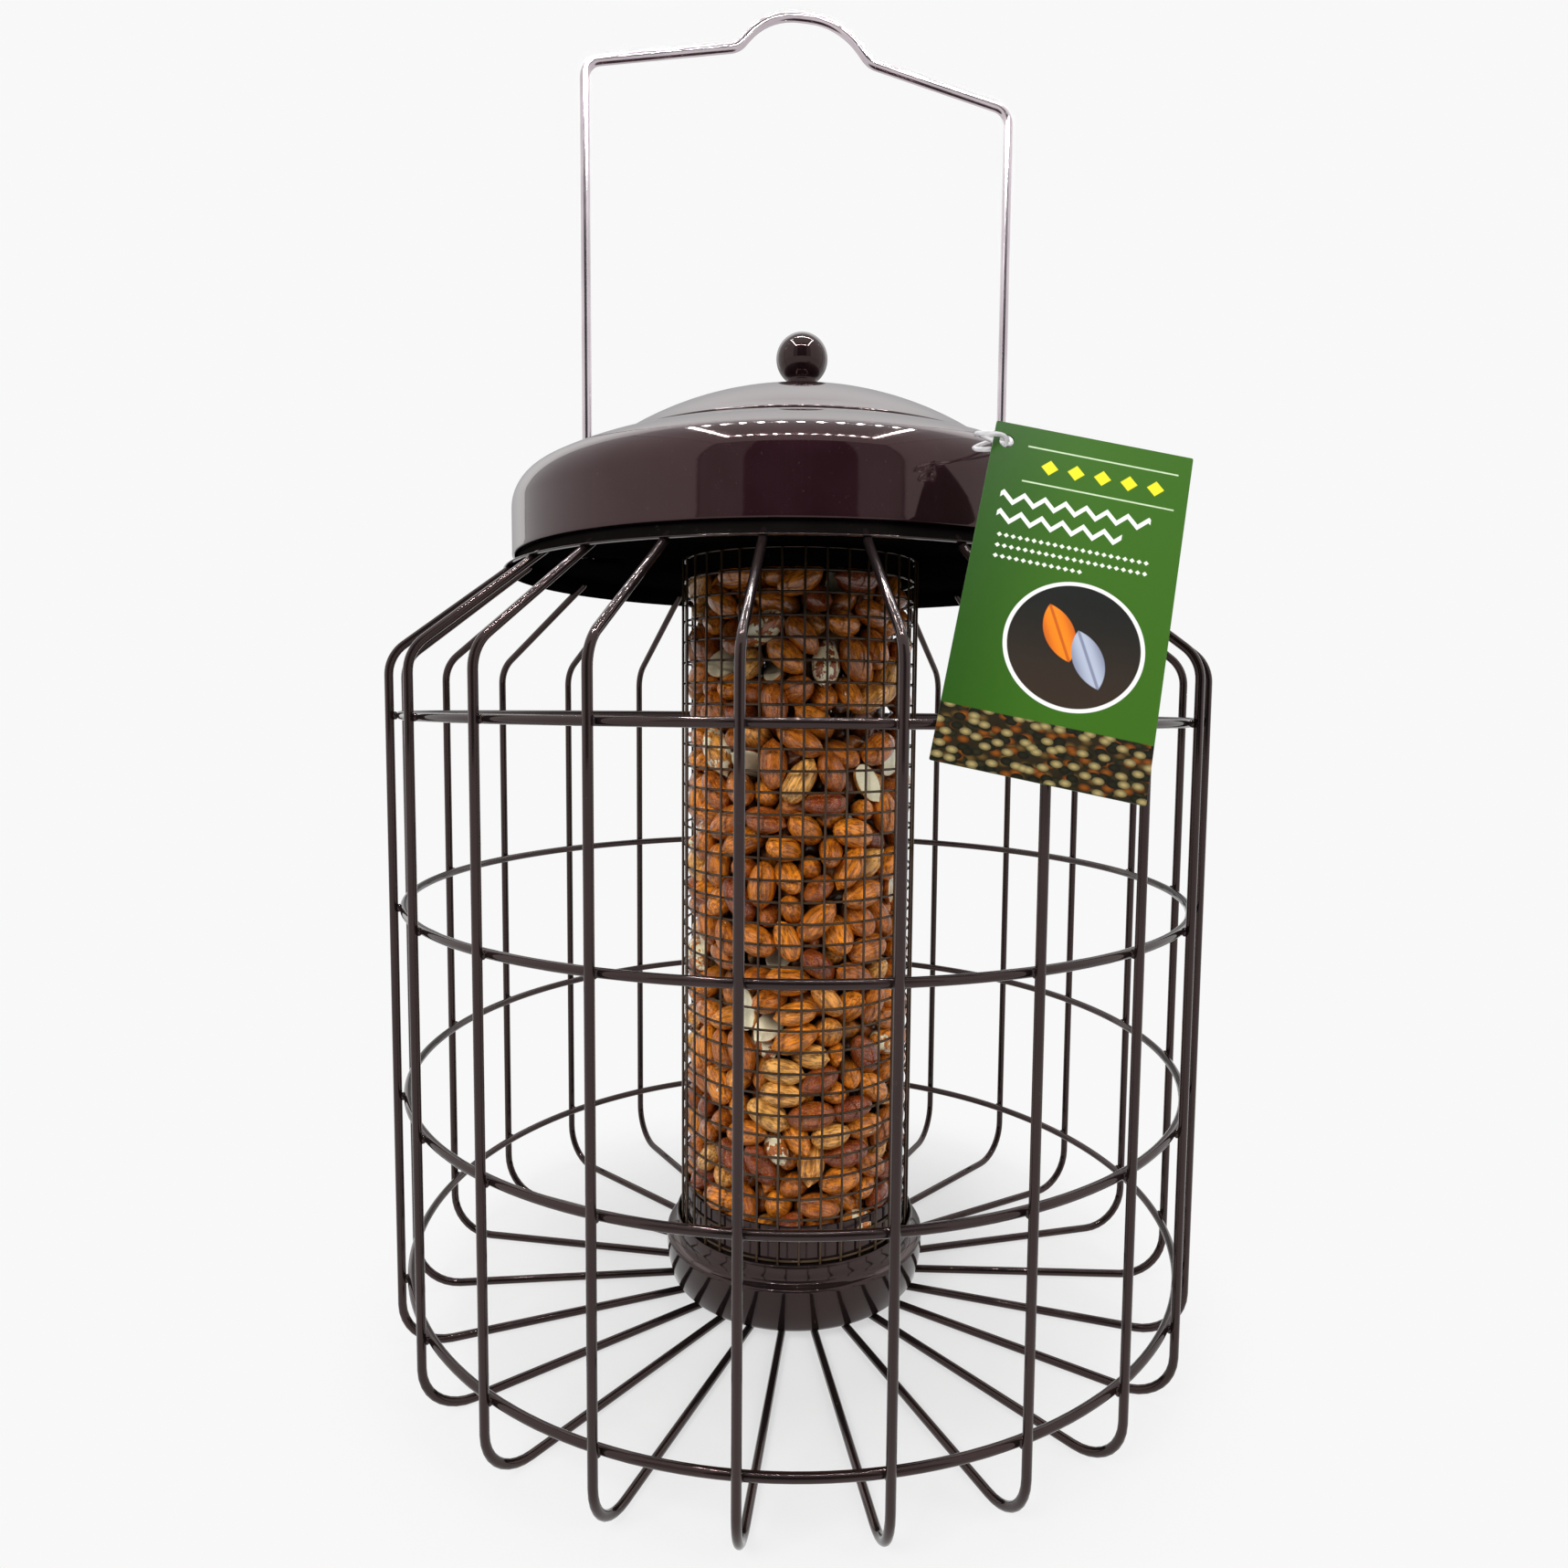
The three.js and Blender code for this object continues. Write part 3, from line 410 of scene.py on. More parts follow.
PAINT_TINT = (1.0, 0.72, 0.69, 1)
DUST = (0.30, 0.27, 0.25)


def enamel(name, light, dark, shine=0.5, reflection_streaks=0.0, least_rough=0.045):
    """Gloss paint over steel, with a faint orange peel, thin spots and dust, and where asked lighter upright
    streaks that are painted reflections.
    """
    m, here = new_material(name)
    patches = m.noise(here, 38, 3, 0.6)
    colour = m.mix(m.step(patches, 0.35, 0.7), dark, light)
    if reflection_streaks:
        # Painted reflection: lighter upright streaks that stand in for reflections in the gloss.
        reflection_streak_noise = m.noise(m.scaled(here, (700, 700, 9)), 1.0, 3, 0.6)
        streak_share = m.times(m.step(reflection_streak_noise, 0.45, 0.75), reflection_streaks)
        colour = m.mix(streak_share, colour, [v * 1.9 for v in light])
    dust = m.step(m.noise(here, 900, 2, 0.7), 0.66, 0.8)
    colour = m.mix(m.times(dust, 0.06), colour, DUST)
    m.set(Base_Color=colour, Roughness=m.uneven(least_rough, 0.04, here, 140, 3, 0.6),
          Specular_IOR_Level=shine, Specular_Tint=PAINT_TINT)
    m.bump(m.noise(here, 520), 0.03)
    return m.material


def bright_metal(name, colour, rough, drawn):
    """Plated steel with fine drawing marks."""
    m, here = new_material(name)
    marks = m.noise(m.scaled(here, drawn), 1.0, 3, 0.6)
    cloud = m.noise(here, 60)
    m.set(Base_Color=m.mix(m.step(cloud, 0.3, 0.7), colour, [v * 0.82 for v in colour]),
          Roughness=m.plus(rough, m.times(marks, 0.12)), Metallic=1.0)
    m.bump(marks, 0.06)
    return m.material


SKIN_DARK, SKIN_BRIGHT, SKIN_PALE = (0.23, 0.028, 0.001), (0.90, 0.270, 0.010), (0.92, 0.46, 0.10)
VEIN, SKIN_FLECK = (0.13, 0.015, 0.002), (0.90, 0.52, 0.15)
KERNEL_DULL, KERNEL_CREAM = (0.84, 0.74, 0.45), (0.93, 0.90, 0.70)
# Painted shade colour for the gaps between nuts.
PAINTED_GAP_SHADE = (0.022, 0.004, 0.001)
# Where shade is painted into the gaps between nuts, in metres from the axis and above the floor.
DEEP_R, OUTER_R, DEEP_Z, HEAP_Z = 0.0235, 0.0305, 0.202, 0.209


def painted_shade_depth(m, here):
    """1 where painted shade darkens what lies deep between the nuts, 0 next to the mesh and on top of the
    heap.
    """
    from_axis = m.length(m.scaled(here, (1, 1, 0)))
    covered = m.fall(m.parts(here)[2], DEEP_Z, HEAP_Z)
    return m.times(m.fall(from_axis, DEEP_R, OUTER_R), covered)


def peanut_material():
    """Red-brown skins with long veins, flaked in places down to the cream kernel, with painted shade on the
    nuts that lie deep in the tube.
    """
    m, here = new_material("peanut")
    spot = m.attribute("nut_place", "Vector")
    tone, flaked, cut_face = m.node("SeparateColor", {0: m.attribute("nut_kind", "Color")}).outputs
    veins = m.noise(m.scaled(spot, (0.16, 1.0, 1.0)), 1.2, 4, 0.62, 0.4)
    fine = m.noise(m.scaled(spot, (0.5, 1.6, 1.6)), 2.6, 3, 0.6)
    skin = m.mix(m.step(tone, 0.0, 0.72), SKIN_DARK, SKIN_BRIGHT)
    skin = m.mix(m.step(tone, 0.72, 0.95), skin, SKIN_PALE)
    skin = m.mix(m.times(m.step(veins, 0.40, 0.62), 0.75), skin, VEIN)
    skin = m.mix(m.times(m.step(fine, 0.50, 0.72), 0.42), skin, SKIN_FLECK)
    flesh = m.mix(m.step(fine, 0.3, 0.75), KERNEL_DULL, KERNEL_CREAM)
    ragged = m.plus(m.noise(spot, 0.34, 3, 0.6), m.times(flaked, 0.42))
    bare = m.step(ragged, 0.86, 0.90)
    peeled = m.larger(bare, m.step(cut_face, 0.45, 0.55))
    # Painted shade: nuts that lie deep in the tube are darkened towards a near-black brown.
    m.set(Base_Color=m.mix(m.times(painted_shade_depth(m, here), 0.86), m.mix(peeled, skin, flesh), PAINTED_GAP_SHADE),
          Roughness=m.plus(m.times(veins, 0.25), 0.26), Specular_IOR_Level=0.3,
          Coat_Weight=1.0, Coat_Roughness=0.10)
    relief = m.plus(m.times(veins, 0.8), m.times(bare, -0.5))
    m.bump(m.plus(relief, m.times(fine, 0.3)), 0.5, 0.0004)
    return m.material


class CardPrint(Nodes):
    """A printed card. Shapes are placed in card millimetres from its lower left corner."""

    soft_edge = 0.12

    def __init__(self, owner):
        super().__init__(owner)
        self.spot = self.attribute("card_place", "Vector")
        self.x, self.y = self.parts(self.spot)[:2]
        self.colour = None

    def paint(self, share, colour):
        self.colour = self.mix(share, self.colour, colour)

    def inside(self, distance):
        return self.fall(distance, -self.soft_edge, self.soft_edge)

    def offset(self, centre_x, centre_y):
        return self.minus(self.x, centre_x), self.minus(self.y, centre_y)

    def box(self, cx, cy, half_w, half_h):
        dx, dy = self.offset(cx, cy)
        return self.inside(self.larger(self.minus(self.size_of(dx), half_w),
                                       self.minus(self.size_of(dy), half_h)))

    def disc_distance(self, cx, cy, radius):
        dx, dy = self.offset(cx, cy)
        reach = self.math("SQRT", self.plus(self.times(dx, dx), self.times(dy, dy)))
        return self.minus(reach, radius)

    def disc(self, cx, cy, radius):
        return self.inside(self.disc_distance(cx, cy, radius))

    def leaf(self, cx, cy, reach_x, reach_y, radius):
        """What two discs have in common, their centres either side of the leaf's."""
        return self.inside(self.larger(self.disc_distance(cx - reach_x, cy - reach_y, radius),
                                       self.disc_distance(cx + reach_x, cy + reach_y, radius)))

    def repeat(self, value, pitch, shift=0.0):
        """Distance to the nearest middle of a row of fields."""
        moved = self.plus(value, shift)
        return self.size_of(self.minus(self.math("WRAP", moved, pitch, 0.0), pitch / 2))


CARD_MIDDLE = TAG_W / 2
PRINT_MIDDLE = CARD_MIDDLE + 2.4
GREEN_DARK, GREEN_LIGHT, GREEN_GRAIN = (0.013, 0.056, 0.004), (0.031, 0.104, 0.006), (0.04, 0.14, 0.01)
RING_X, RING_Y = CARD_MIDDLE + 2.6, 28.6
SEED_BAND_TOP = 11.7


def print_lines_and_gems(card):
    for row in (70.6, 62.4):
        card.paint(card.box(PRINT_MIDDLE, row, 15.4, 0.16), (0.50, 0.62, 0.40))
    across = card.repeat(card.x, 5.4, 1.1)
    gems = card.inside(card.minus(card.plus(across, card.repeat(card.y, 8.0, 1.5)), 1.75))
    card.paint(card.times(gems, card.box(PRINT_MIDDLE, 66.5, 13.4, 2.6)), (0.70, 0.64, 0.02))


def print_zigzags_and_dots(card):
    for row, half in ((58.0, 15.2), (53.6, 12.6)):
        fold = card.minus(card.repeat(card.x, 4.2), 1.05)
        away = card.size_of(card.minus(card.minus(card.y, row), fold))
        zigzag = card.inside(card.minus(away, 0.62))
        card.paint(card.times(zigzag, card.box(3.6 + half, row, half, 2.2)), (0.72, 0.76, 0.68))
    for row, half in ((49.4, 15.4), (47.0, 15.4), (44.6, 9.1)):
        from_row = card.size_of(card.minus(card.y, row))
        dots = card.inside(card.minus(card.plus(card.repeat(card.x, 1.4), from_row), 0.52))
        card.paint(card.times(dots, card.box(4.2 + half, row, half, 1.0)), (0.66, 0.72, 0.60))


def print_ring_and_leaves(card):
    card.paint(card.disc(RING_X, RING_Y, 13.7), (0.74, 0.74, 0.72))
    shade = card.mix(card.step(card.y, 16, 40), (0.028, 0.018, 0.012), (0.007, 0.008, 0.007))
    card.paint(card.disc(RING_X, RING_Y, 12.9), shade)
    for side, (tint, low) in enumerate((((0.74, 0.20, 0.01), (0.46, 0.09, 0.01)),
                                        ((0.36, 0.40, 0.50), (0.18, 0.20, 0.28)))):
        leaf_x, leaf_y = RING_X - 3.1 + 6.2 * side, RING_Y + 2.2 - 4.4 * side
        dx, dy = card.offset(leaf_x, leaf_y)
        from_rib = card.size_of(card.plus(card.times(dx, 0.90), card.times(dy, 0.43)))
        rib_colour = card.mix(card.step(from_rib, 0.16, 0.42), low, tint)
        card.paint(card.leaf(leaf_x, leaf_y, 4.6, 2.2, 8.1),
                   card.mix(card.step(from_rib, 0.5, 3.4), rib_colour, low))


def seed_layer(card, layer):
    """Distance from the middles of one layer of seeds."""
    moved = card.node("Mapping", {
        "Vector": card.spot, "Location": (3.7 * layer, 5.3 * layer, 0),
        "Rotation": (0, 0, 0.8 * layer), "Scale": (0.27, 0.42, 1)}).outputs[0]
    cells = card.node("TexVoronoi", {"Vector": moved, "Scale": 1.0}, voronoi_dimensions="2D")
    return cells.outputs["Distance"]


def print_seed_band(card, here):
    stripe = card.mix(card.noise(here, 260, 2, 0.6), (0.006, 0.005, 0.002), (0.022, 0.014, 0.004))
    tones = ((0.09, 0.052, 0.013), (0.018, 0.017, 0.006), (0.18, 0.052, 0.005), (0.010, 0.010, 0.004),
             (0.32, 0.25, 0.10))
    for layer, tone in enumerate(tones):
        from_middle = seed_layer(card, layer)
        seed_colour = card.mix(card.step(from_middle, 0.0, 0.34), tone, [v * 0.3 for v in tone])
        stripe = card.mix(card.fall(from_middle, 0.29, 0.34), stripe, seed_colour)
    card.paint(card.fall(card.y, SEED_BAND_TOP, SEED_BAND_TOP + 0.3), stripe)


def tag_front_material():
    """Printed card: green ground with a plain geometric design."""
    card = CardPrint(bpy.data.materials.new("tag_print"))
    here = card.object_place()
    card.colour = card.mix(card.step(card.x, -6, 24), GREEN_DARK, GREEN_LIGHT)
    card.paint(card.times(card.noise(here, 900, 2, 0.6), 0.10), GREEN_GRAIN)
    print_lines_and_gems(card)
    print_zigzags_and_dots(card)
    print_ring_and_leaves(card)
    print_seed_band(card, here)
    card.set(Base_Color=card.colour, Specular_IOR_Level=0.25,
             Roughness=card.uneven(0.30, 0.12, here, 1200))
    card.bump(card.noise(here, 1500), 0.05)
    return card.material


def plain_card_material():
    m, here = new_material("tag_back")
    m.set(Base_Color=m.mix(m.noise(here, 700, 3, 0.6), (0.034, 0.100, 0.016), (0.044, 0.126, 0.021)),
          Roughness=m.uneven(0.35, 0.15, here, 1500, 2, 0.6))
    m.bump(m.noise(here, 2200, 2, 0.6), 0.08)
    return m.material


def clear_plastic_material():
    m, here = new_material("clear_plastic")
    m.set(Base_Color=m.mix(m.noise(here, 300), (0.80, 0.78, 0.80), (0.90, 0.88, 0.90)),
          Roughness=m.uneven(0.12, 0.10, here, 800), Transmission_Weight=0.55, IOR=1.46)
    return m.material


BROWN = enamel("brown_enamel", (0.013, 0.0085, 0.008), (0.008, 0.0055, 0.006), least_rough=0.06)
# The lid's enamel gets painted reflection streaks.
BROWN_LID = enamel("brown_enamel_lid", (0.019, 0.007, 0.010), (0.013, 0.004, 0.006), reflection_streaks=0.10)
BROWN_MESH = enamel("brown_enamel_mesh", (0.062, 0.041, 0.023), (0.036, 0.023, 0.014), shine=0.3)
# Painted shade: a near-black enamel without gloss, for surfaces that lie in shade under the lid and the
# plate.
BROWN_PAINTED_SHADE = enamel("brown_enamel_painted_shade", (0.006, 0.005, 0.005), (0.004, 0.003, 0.003), shine=0.0)
BROWN_KNOB = enamel("brown_knob", (0.012, 0.006, 0.007), (0.008, 0.004, 0.005),
                    shine=0.45, least_rough=0.01)
CHROME = bright_metal("bright_wire", (0.60, 0.53, 0.565), 0.10, (500, 500, 40))
ZINC = bright_metal("zinc_steel", (0.48, 0.48, 0.49), 0.28, (400, 400, 400))
PEANUT = peanut_material()
TAG_FRONT = tag_front_material()
TAG_BACK = plain_card_material()
CLEAR = clear_plastic_material()

# Cage.
WIRE_ANGLES = [CAGE_TURN + a for a in full_turn(CAGE_WIRES)]
WIRE_SIDES, BEND_STEPS = 14, 9
HOOP_STEPS = 8 * CAGE_WIRES


def cage_wires():
    outline = bent([(WIRE_FLOOR_END, WIRE_R), (WIRE_CIRCLE, WIRE_R, FLOOR_BEND),
                    (WIRE_CIRCLE, roof_height(WIRE_CIRCLE), ROOF_BEND),
                    (WIRE_ROOF_END, roof_height(WIRE_ROOF_END))], BEND_STEPS)
    for i, angle in enumerate(WIRE_ANGLES, 1):
        bar = sweep(turned_points(outline, angle), WIRE_R, WIRE_SIDES, sideways(angle))
        piece(f"cage_bar_{i:02d}", bar, BROWN, f"cage_wire_{i:02d}")


def cage_hoops():
    for i, height in enumerate(HOOP_HEIGHTS, 1):
        ring = [on_circle(HOOP_R, a, height) for a in full_turn(HOOP_STEPS)]
        piece(f"hoop_{i}", sweep(ring, WIRE_R, WIRE_SIDES, closed=True), BROWN, f"cage_hoop_{i}")


def cage_welds():
    """A small uneven bead of metal wherever a wire crosses a hoop."""
    up = np.array((0, 0, 1.0))
    welds = []
    for angle in WIRE_ANGLES:
        out, side = np.array(on_circle(1, angle)), np.array(sideways(angle))
        for height in HOOP_HEIGHTS:
            size = 1.0 + 0.25 * rng.random()
            spot = out * (HOOP_R + 1.2) + up * (height + rng.uniform(-0.15, 0.15))
            welds.append(blob(spot, (side, out, up), (size, 0.8, size)))
    piece("cage_welds", merge(welds), BROWN)


# Top plate.
PLATE_SEGMENTS = 184
FLARE_POINTS, FLARE_START = 8, 0.15


def flare(wall, out, start_z, drop, end):
    """The quarter curve from the plate's wall out and down to its lip."""
    return [(wall + out * (1 - cos(t)), start_z - drop * sin(t))
            for t in np.linspace(FLARE_START, end, FLARE_POINTS)]


def top_plate():
    """A pressed ring. Its flare and its underside lie in shade and get the dark material."""
    corner_r, corner_z = PLATE_WALL - PLATE_CORNER, PLATE_TOP - PLATE_CORNER
    outer = [(PLATE_HOLE_R, PLATE_TOP), (PLATE_ROW_R, PLATE_TOP)]
    outer += arc(corner_r, corner_z, PLATE_CORNER, 90, 0, 6) + [(PLATE_WALL, 213.4)]
    outer += flare(PLATE_WALL, 3.4, 212.9, 2.9, pi / 2)
    inner = [(PLATE_HOLE_R, PLATE_TOP - SHEET), (PLATE_ROW_R, PLATE_TOP - SHEET)]
    inner += arc(corner_r, corner_z, PLATE_CORNER - SHEET, 90, 0, 4) + [(PLATE_WALL - SHEET, 213.2)]
    inner += flare(PLATE_WALL - SHEET, 3.7, 212.3, 2.75, pi / 2 - 0.05)
    rim = [(LIP_R + 0.12, outer[-1][1] - 0.1), (LIP_R + 0.15, LIP_Z + 0.12), (LIP_R - 0.15, LIP_Z - 0.02)]
    plate = add_mesh("top_plate", *lathe(outer + rim + inner[::-1], PLATE_SEGMENTS), BROWN)
    plate.data.materials.append(BROWN_PAINTED_SHADE)
    wall_row = len(outer) - FLARE_POINTS - 1
    lip_row = len(outer) - 2
    under_row = len(outer) + len(rim) - 1
    for face in plate.data.polygons:
        row = face.index // PLATE_SEGMENTS
        face.material_index = int(wall_row <= row < lip_row or row > under_row)
    drill_leg_holes(plate, PLATE_LEG_HOLE, 210, 220)
    place(plate, "feeder", "brown_enamel", "cage_top_plate")


# Mesh tube.
COLUMNS, COLUMN_POINTS = 36, 8
FIRST_COLUMN = radians(-90 + 2.3)
RINGS, RING_POINTS, PITCH_UP = 37, 108, 5.87
STRAND_R, STRAND_SIDES = 0.36, 8
COLUMN_R, RING_R = TUBE_R + 0.02, TUBE_R - 0.62
UNEVEN = 0.12


def mesh_column(angle):
    """An upright strand that wanders a little to either side."""
    wander = [rng.uniform(-UNEVEN, UNEVEN) for _ in range(COLUMN_POINTS)]
    points = [on_circle(COLUMN_R, angle + shift / TUBE_R, z)
              for shift, z in zip(wander, np.linspace(TUBE_FOOT, TUBE_TOP, COLUMN_POINTS))]
    return sweep(points, STRAND_R, STRAND_SIDES, on_circle(1, angle))


def mesh_ring(height):
    """A level strand that leans a little to a random side."""
    lean, lean_turn = rng.uniform(-UNEVEN, UNEVEN), rng.uniform(0, 2 * pi)
    points = [on_circle(RING_R, a, height + lean * cos(a + lean_turn)) for a in full_turn(RING_POINTS)]
    return sweep(points, STRAND_R, STRAND_SIDES, closed=True)


def mesh_tube():
    strands = [mesh_column(FIRST_COLUMN + a) for a in full_turn(COLUMNS)]
    strands += [mesh_ring(TUBE_TOP - 0.4 - k * PITCH_UP) for k in range(RINGS)]
    piece("mesh_strands", merge(strands), BROWN_MESH, "mesh_tube")


# Cups and collar.
def base_cup():
    """A cup with a rounded foot, a bead round its belly and a neck."""
    outside = [(0, CUP_FOOT_Z), (CUP_FOOT_R, CUP_FOOT_Z)]
    outside += arc(CUP_FOOT_R + 0.4, CUP_FOOT_Z + 3.6, 3.6, -90, -25, 6)
    outside += [(CUP_BELLY_R - 0.4, 8.5), (CUP_BELLY_R, CUP_BELLY_Z)]
    outside += arc(CUP_BEAD_R, CUP_BEAD_Z, 0.85, -10, 80, 5)
    outside += [(CUP_NECK_R + 0.4, 16.5), (CUP_NECK_R + 0.05, 17.1), (CUP_NECK_R, 18)]
    outside += [(CUP_NECK_R, CUP_TOP - 0.3), (CUP_NECK_R - 0.2, CUP_TOP), (CUP_NECK_R - 0.6, CUP_TOP)]
    neck = CUP_NECK_R - SHEET
    inside = [(neck, CUP_TOP - 0.3), (neck, 16.6), (neck + 0.3, 15.9), (CUP_BELLY_R - 1.6, 15.1),
              (CUP_BELLY_R - 0.9, CUP_BELLY_Z), (CUP_BELLY_R - 1.3, 8.6), (CUP_BELLY_R - 2.6, 5.6),
              (CUP_FOOT_R, CUP_FOOT_Z + 1.0), (0, CUP_FOOT_Z + 0.9)]
    piece("base_bowl", lathe(outside + inside, 144, closed=False), BROWN, "base_cup")


def tube_liner():
    """The cup inside the foot of the mesh."""
    inner = LINER_R - SHEET
    outline = [(0, LINER_FOOT_Z), (LINER_R - 1.5, LINER_FOOT_Z)]
    outline += arc(LINER_R - 1.3, LINER_FOOT_Z + 1.3, 1.3, -90, 0, 4)
    outline += [(LINER_R, LINER_TOP - 0.4), (LINER_R - 0.2, LINER_TOP), (inner + 0.2, LINER_TOP),
                (inner, LINER_TOP - 0.4), (inner, LINER_FOOT_Z + 1.8), (LINER_R - 1.5, LINER_FOOT_Z + 1.0),
                (0, LINER_FOOT_Z + 0.9)]
    piece("tube_liner", lathe(outline, 120, closed=False), BROWN, "inner_cup")


def mouth_collar():
    """A sleeve in the tube's mouth with a flange that lies over the plate."""
    inner, top = COLLAR_R - SHEET, FLANGE_Z + SHEET
    outline = [(inner, COLLAR_FOOT + 0.2), (inner + 0.2, COLLAR_FOOT), (COLLAR_R - 0.15, COLLAR_FOOT),
               (COLLAR_R, COLLAR_FOOT + 0.3), (COLLAR_R, FLANGE_Z - 0.6), (COLLAR_R + 0.35, FLANGE_Z),
               (FLANGE_R - 0.4, FLANGE_Z), (FLANGE_R, FLANGE_Z + 0.3), (FLANGE_R, top - 0.2),
               (FLANGE_R - 0.3, top), (COLLAR_R + 0.35, top), (inner + 0.25, top - 0.6),
               (inner, FLANGE_Z - 0.4)]
    # The collar lies in shade under the lid and gets the near-black painted-shade material.
    piece("mouth_collar", lathe(outline, 120), BROWN_PAINTED_SHADE, "tube_collar")


# Peanuts.
NUT_FLOOR, NUT_TOP = 24.0, 210.5
NUT_COUNT, NUT_SEED = 1120, 7
NUT_SCALE = 0.86
WALL_R = 33.0
HIDDEN_R, HIDDEN_DEPTH = 15.0, 14
HEAP_RISE, HEAP_SLOPE = 4.0, 0.09
BALL_SPACING, BALL_RADII = 3.3, (3.75, 4.15, 3.85)
PACK_STEPS, GROWING_STEPS, FIRST_GROWTH = 240, 200, 0.6
PAIR_STEPS, PAIR_MARGIN = 6, 2.5
NUT_SHAPES, NUT_ROWS, NUT_AROUND = 10, 13, 14
NUT_HALF_LENGTH, NUT_R = 7.2, 4.35
NUT_TIP = 0.86
SPLITS_SWAPPED, SPLITS_TURNED_OUT = 0.68, 0.7
FLAKED_MOST = 1.6


def near_pairs(balls, radii, owner):
    """Balls of different nuts that may touch within the next steps."""
    square = (balls ** 2).sum(1)
    apart = square[:, None] + square[None, :] - 2 * balls @ balls.T
    first, second = np.nonzero(np.triu(apart < (radii[:, None] + radii[None, :] + PAIR_MARGIN) ** 2, 1))
    other = owner[first] != owner[second]
    return first[other], second[other]


def ball_moves(balls, radii, first, second):
    """How far the balls, the mesh and the ends of the heap push every ball."""
    gap = balls[first] - balls[second]
    length = np.maximum(norm(gap, axis=1), TINY)
    close = np.maximum(radii[first] + radii[second] - length, 0)
    push = gap / length[:, None] * (close * 0.5)[:, None]
    move = np.zeros_like(balls)
    for k in range(3):
        move[:, k] = (np.bincount(first, push[:, k], len(balls))
                      - np.bincount(second, push[:, k], len(balls)))
    flat = np.maximum(norm(balls[:, :2], axis=1), TINY)
    move[:, :2] -= balls[:, :2] / flat[:, None] * np.maximum(flat + radii - WALL_R, 0)[:, None]
    move[:, 2] += np.maximum(NUT_FLOOR - (balls[:, 2] - radii), 0)
    move[:, 2] -= np.maximum(balls[:, 2] + radii - (NUT_TOP + HEAP_RISE - HEAP_SLOPE * flat), 0)
    return move


def pack_nuts(count, seed):
    """Places nuts of three balls each and pushes overlapping ones apart until they lie close."""
    gen = np.random.default_rng(seed)
    offsets = np.array((-BALL_SPACING, 0.0, BALL_SPACING)) * NUT_SCALE
    ball = np.array(BALL_RADII) * NUT_SCALE
    size = gen.uniform(0.90, 1.10, count)
    reach = offsets[None, :] * size[:, None]
    turn = gen.uniform(0, 2 * pi, count)
    away = 30 * np.sqrt(gen.uniform(0, 1, count))
    height = gen.uniform(NUT_FLOOR, NUT_TOP, count)
    centre = np.column_stack((away * np.cos(turn), away * np.sin(turn), height))
    axis = gen.normal(size=(count, 3)) * (1, 1, 0.75)
    axis /= norm(axis, axis=1)[:, None]
    owner = np.repeat(np.arange(count), 3)
    for step in range(PACK_STEPS):
        grow = min(1.0, FIRST_GROWTH + step / GROWING_STEPS)
        balls = (centre[:, None, :] + axis[:, None, :] * reach[:, :, None]).reshape(-1, 3)
        radii = (ball[None, :] * size[:, None] * grow).reshape(-1)
        if step % PAIR_STEPS == 0:
            first, second = near_pairs(balls, radii, owner)
        move = ball_moves(balls, radii, first, second).reshape(count, 3, 3)
        centre += move.mean(1) * 0.7
        axis += (move * reach[:, :, None]).sum(1) / (reach ** 2).sum(1)[:, None] * 0.6
        axis /= norm(axis, axis=1)[:, None]
    return centre, axis, size, gen


def is_split(number):
    return number % 5 == 4


def nut_shape(number, gen):
    """A kernel about 15 mm long on X: verts, faces, and 1 for each vertex of a split nut's flat side."""
    verts, flat_side = [], []
    lean, waist = gen.uniform(-0.10, 0.10), gen.uniform(-0.05, 0.08)
    nose = gen.uniform(0.5, 1.3)
    bulge = gen.uniform(-0.05, 0.05, 3)
    for i in range(NUT_ROWS + 1):
        t = i / NUT_ROWS
        turn = pi * t
        x = -NUT_HALF_LENGTH * cos(turn)
        body = NUT_R * sin(turn) ** 0.86 * (1 - lean * cos(turn)) * (1 - waist * cos(2 * turn))
        tip = max(0.0, (t - NUT_TIP) / (1 - NUT_TIP))
        for a in full_turn(NUT_AROUND):
            crease = 1 - 0.07 * exp(-((a - pi / 2) / 0.4) ** 2)
            swell = (1 + bulge[0] * cos(2 * a) + bulge[1] * sin(3 * a + 5 * t)
                     + bulge[2] * cos(4 * t + a))
            r = body * crease * swell
            y, z = r * cos(a), r * sin(a) * 0.93
            bare = 0.0
            if is_split(number) and z < 0:
                dent = 0.9 * exp(-(y / 1.3) ** 2) * sin(turn)
                z = z * 0.10 + dent * 0.5
                bare = 1.0 if z < 0.42 and abs(y) < 0.97 * max(body, 0.01) else 0.0
            verts.append((x + nose * tip * tip, y * (1 - 0.25 * tip), z))
            flat_side.append(bare)
    return np.array(verts), wall_faces(NUT_ROWS + 1, NUT_AROUND), np.array(flat_side)


def choose_shape(gen):
    """A random shape number, with most of the split ones swapped for whole ones."""
    pick = int(gen.integers(0, NUT_SHAPES))
    if is_split(pick) and gen.random() < SPLITS_SWAPPED:
        pick -= 1
    return pick


def nut_basis(pick, x_axis, centre, gen):
    """The nut's three axes. Most split nuts show their flat side to the mesh."""
    side = np.cross(x_axis, gen.normal(size=3))
    side /= norm(side)
    if is_split(pick) and gen.random() < SPLITS_TURNED_OUT:
        outward = np.array((*centre[:2], 0)) / max(TINY, norm(centre[:2]))
        flat_normal = outward - x_axis * (outward @ x_axis)
        third = -flat_normal / max(TINY, norm(flat_normal))
        side = np.cross(third, x_axis)
    return np.array((x_axis, side, np.cross(x_axis, side)))


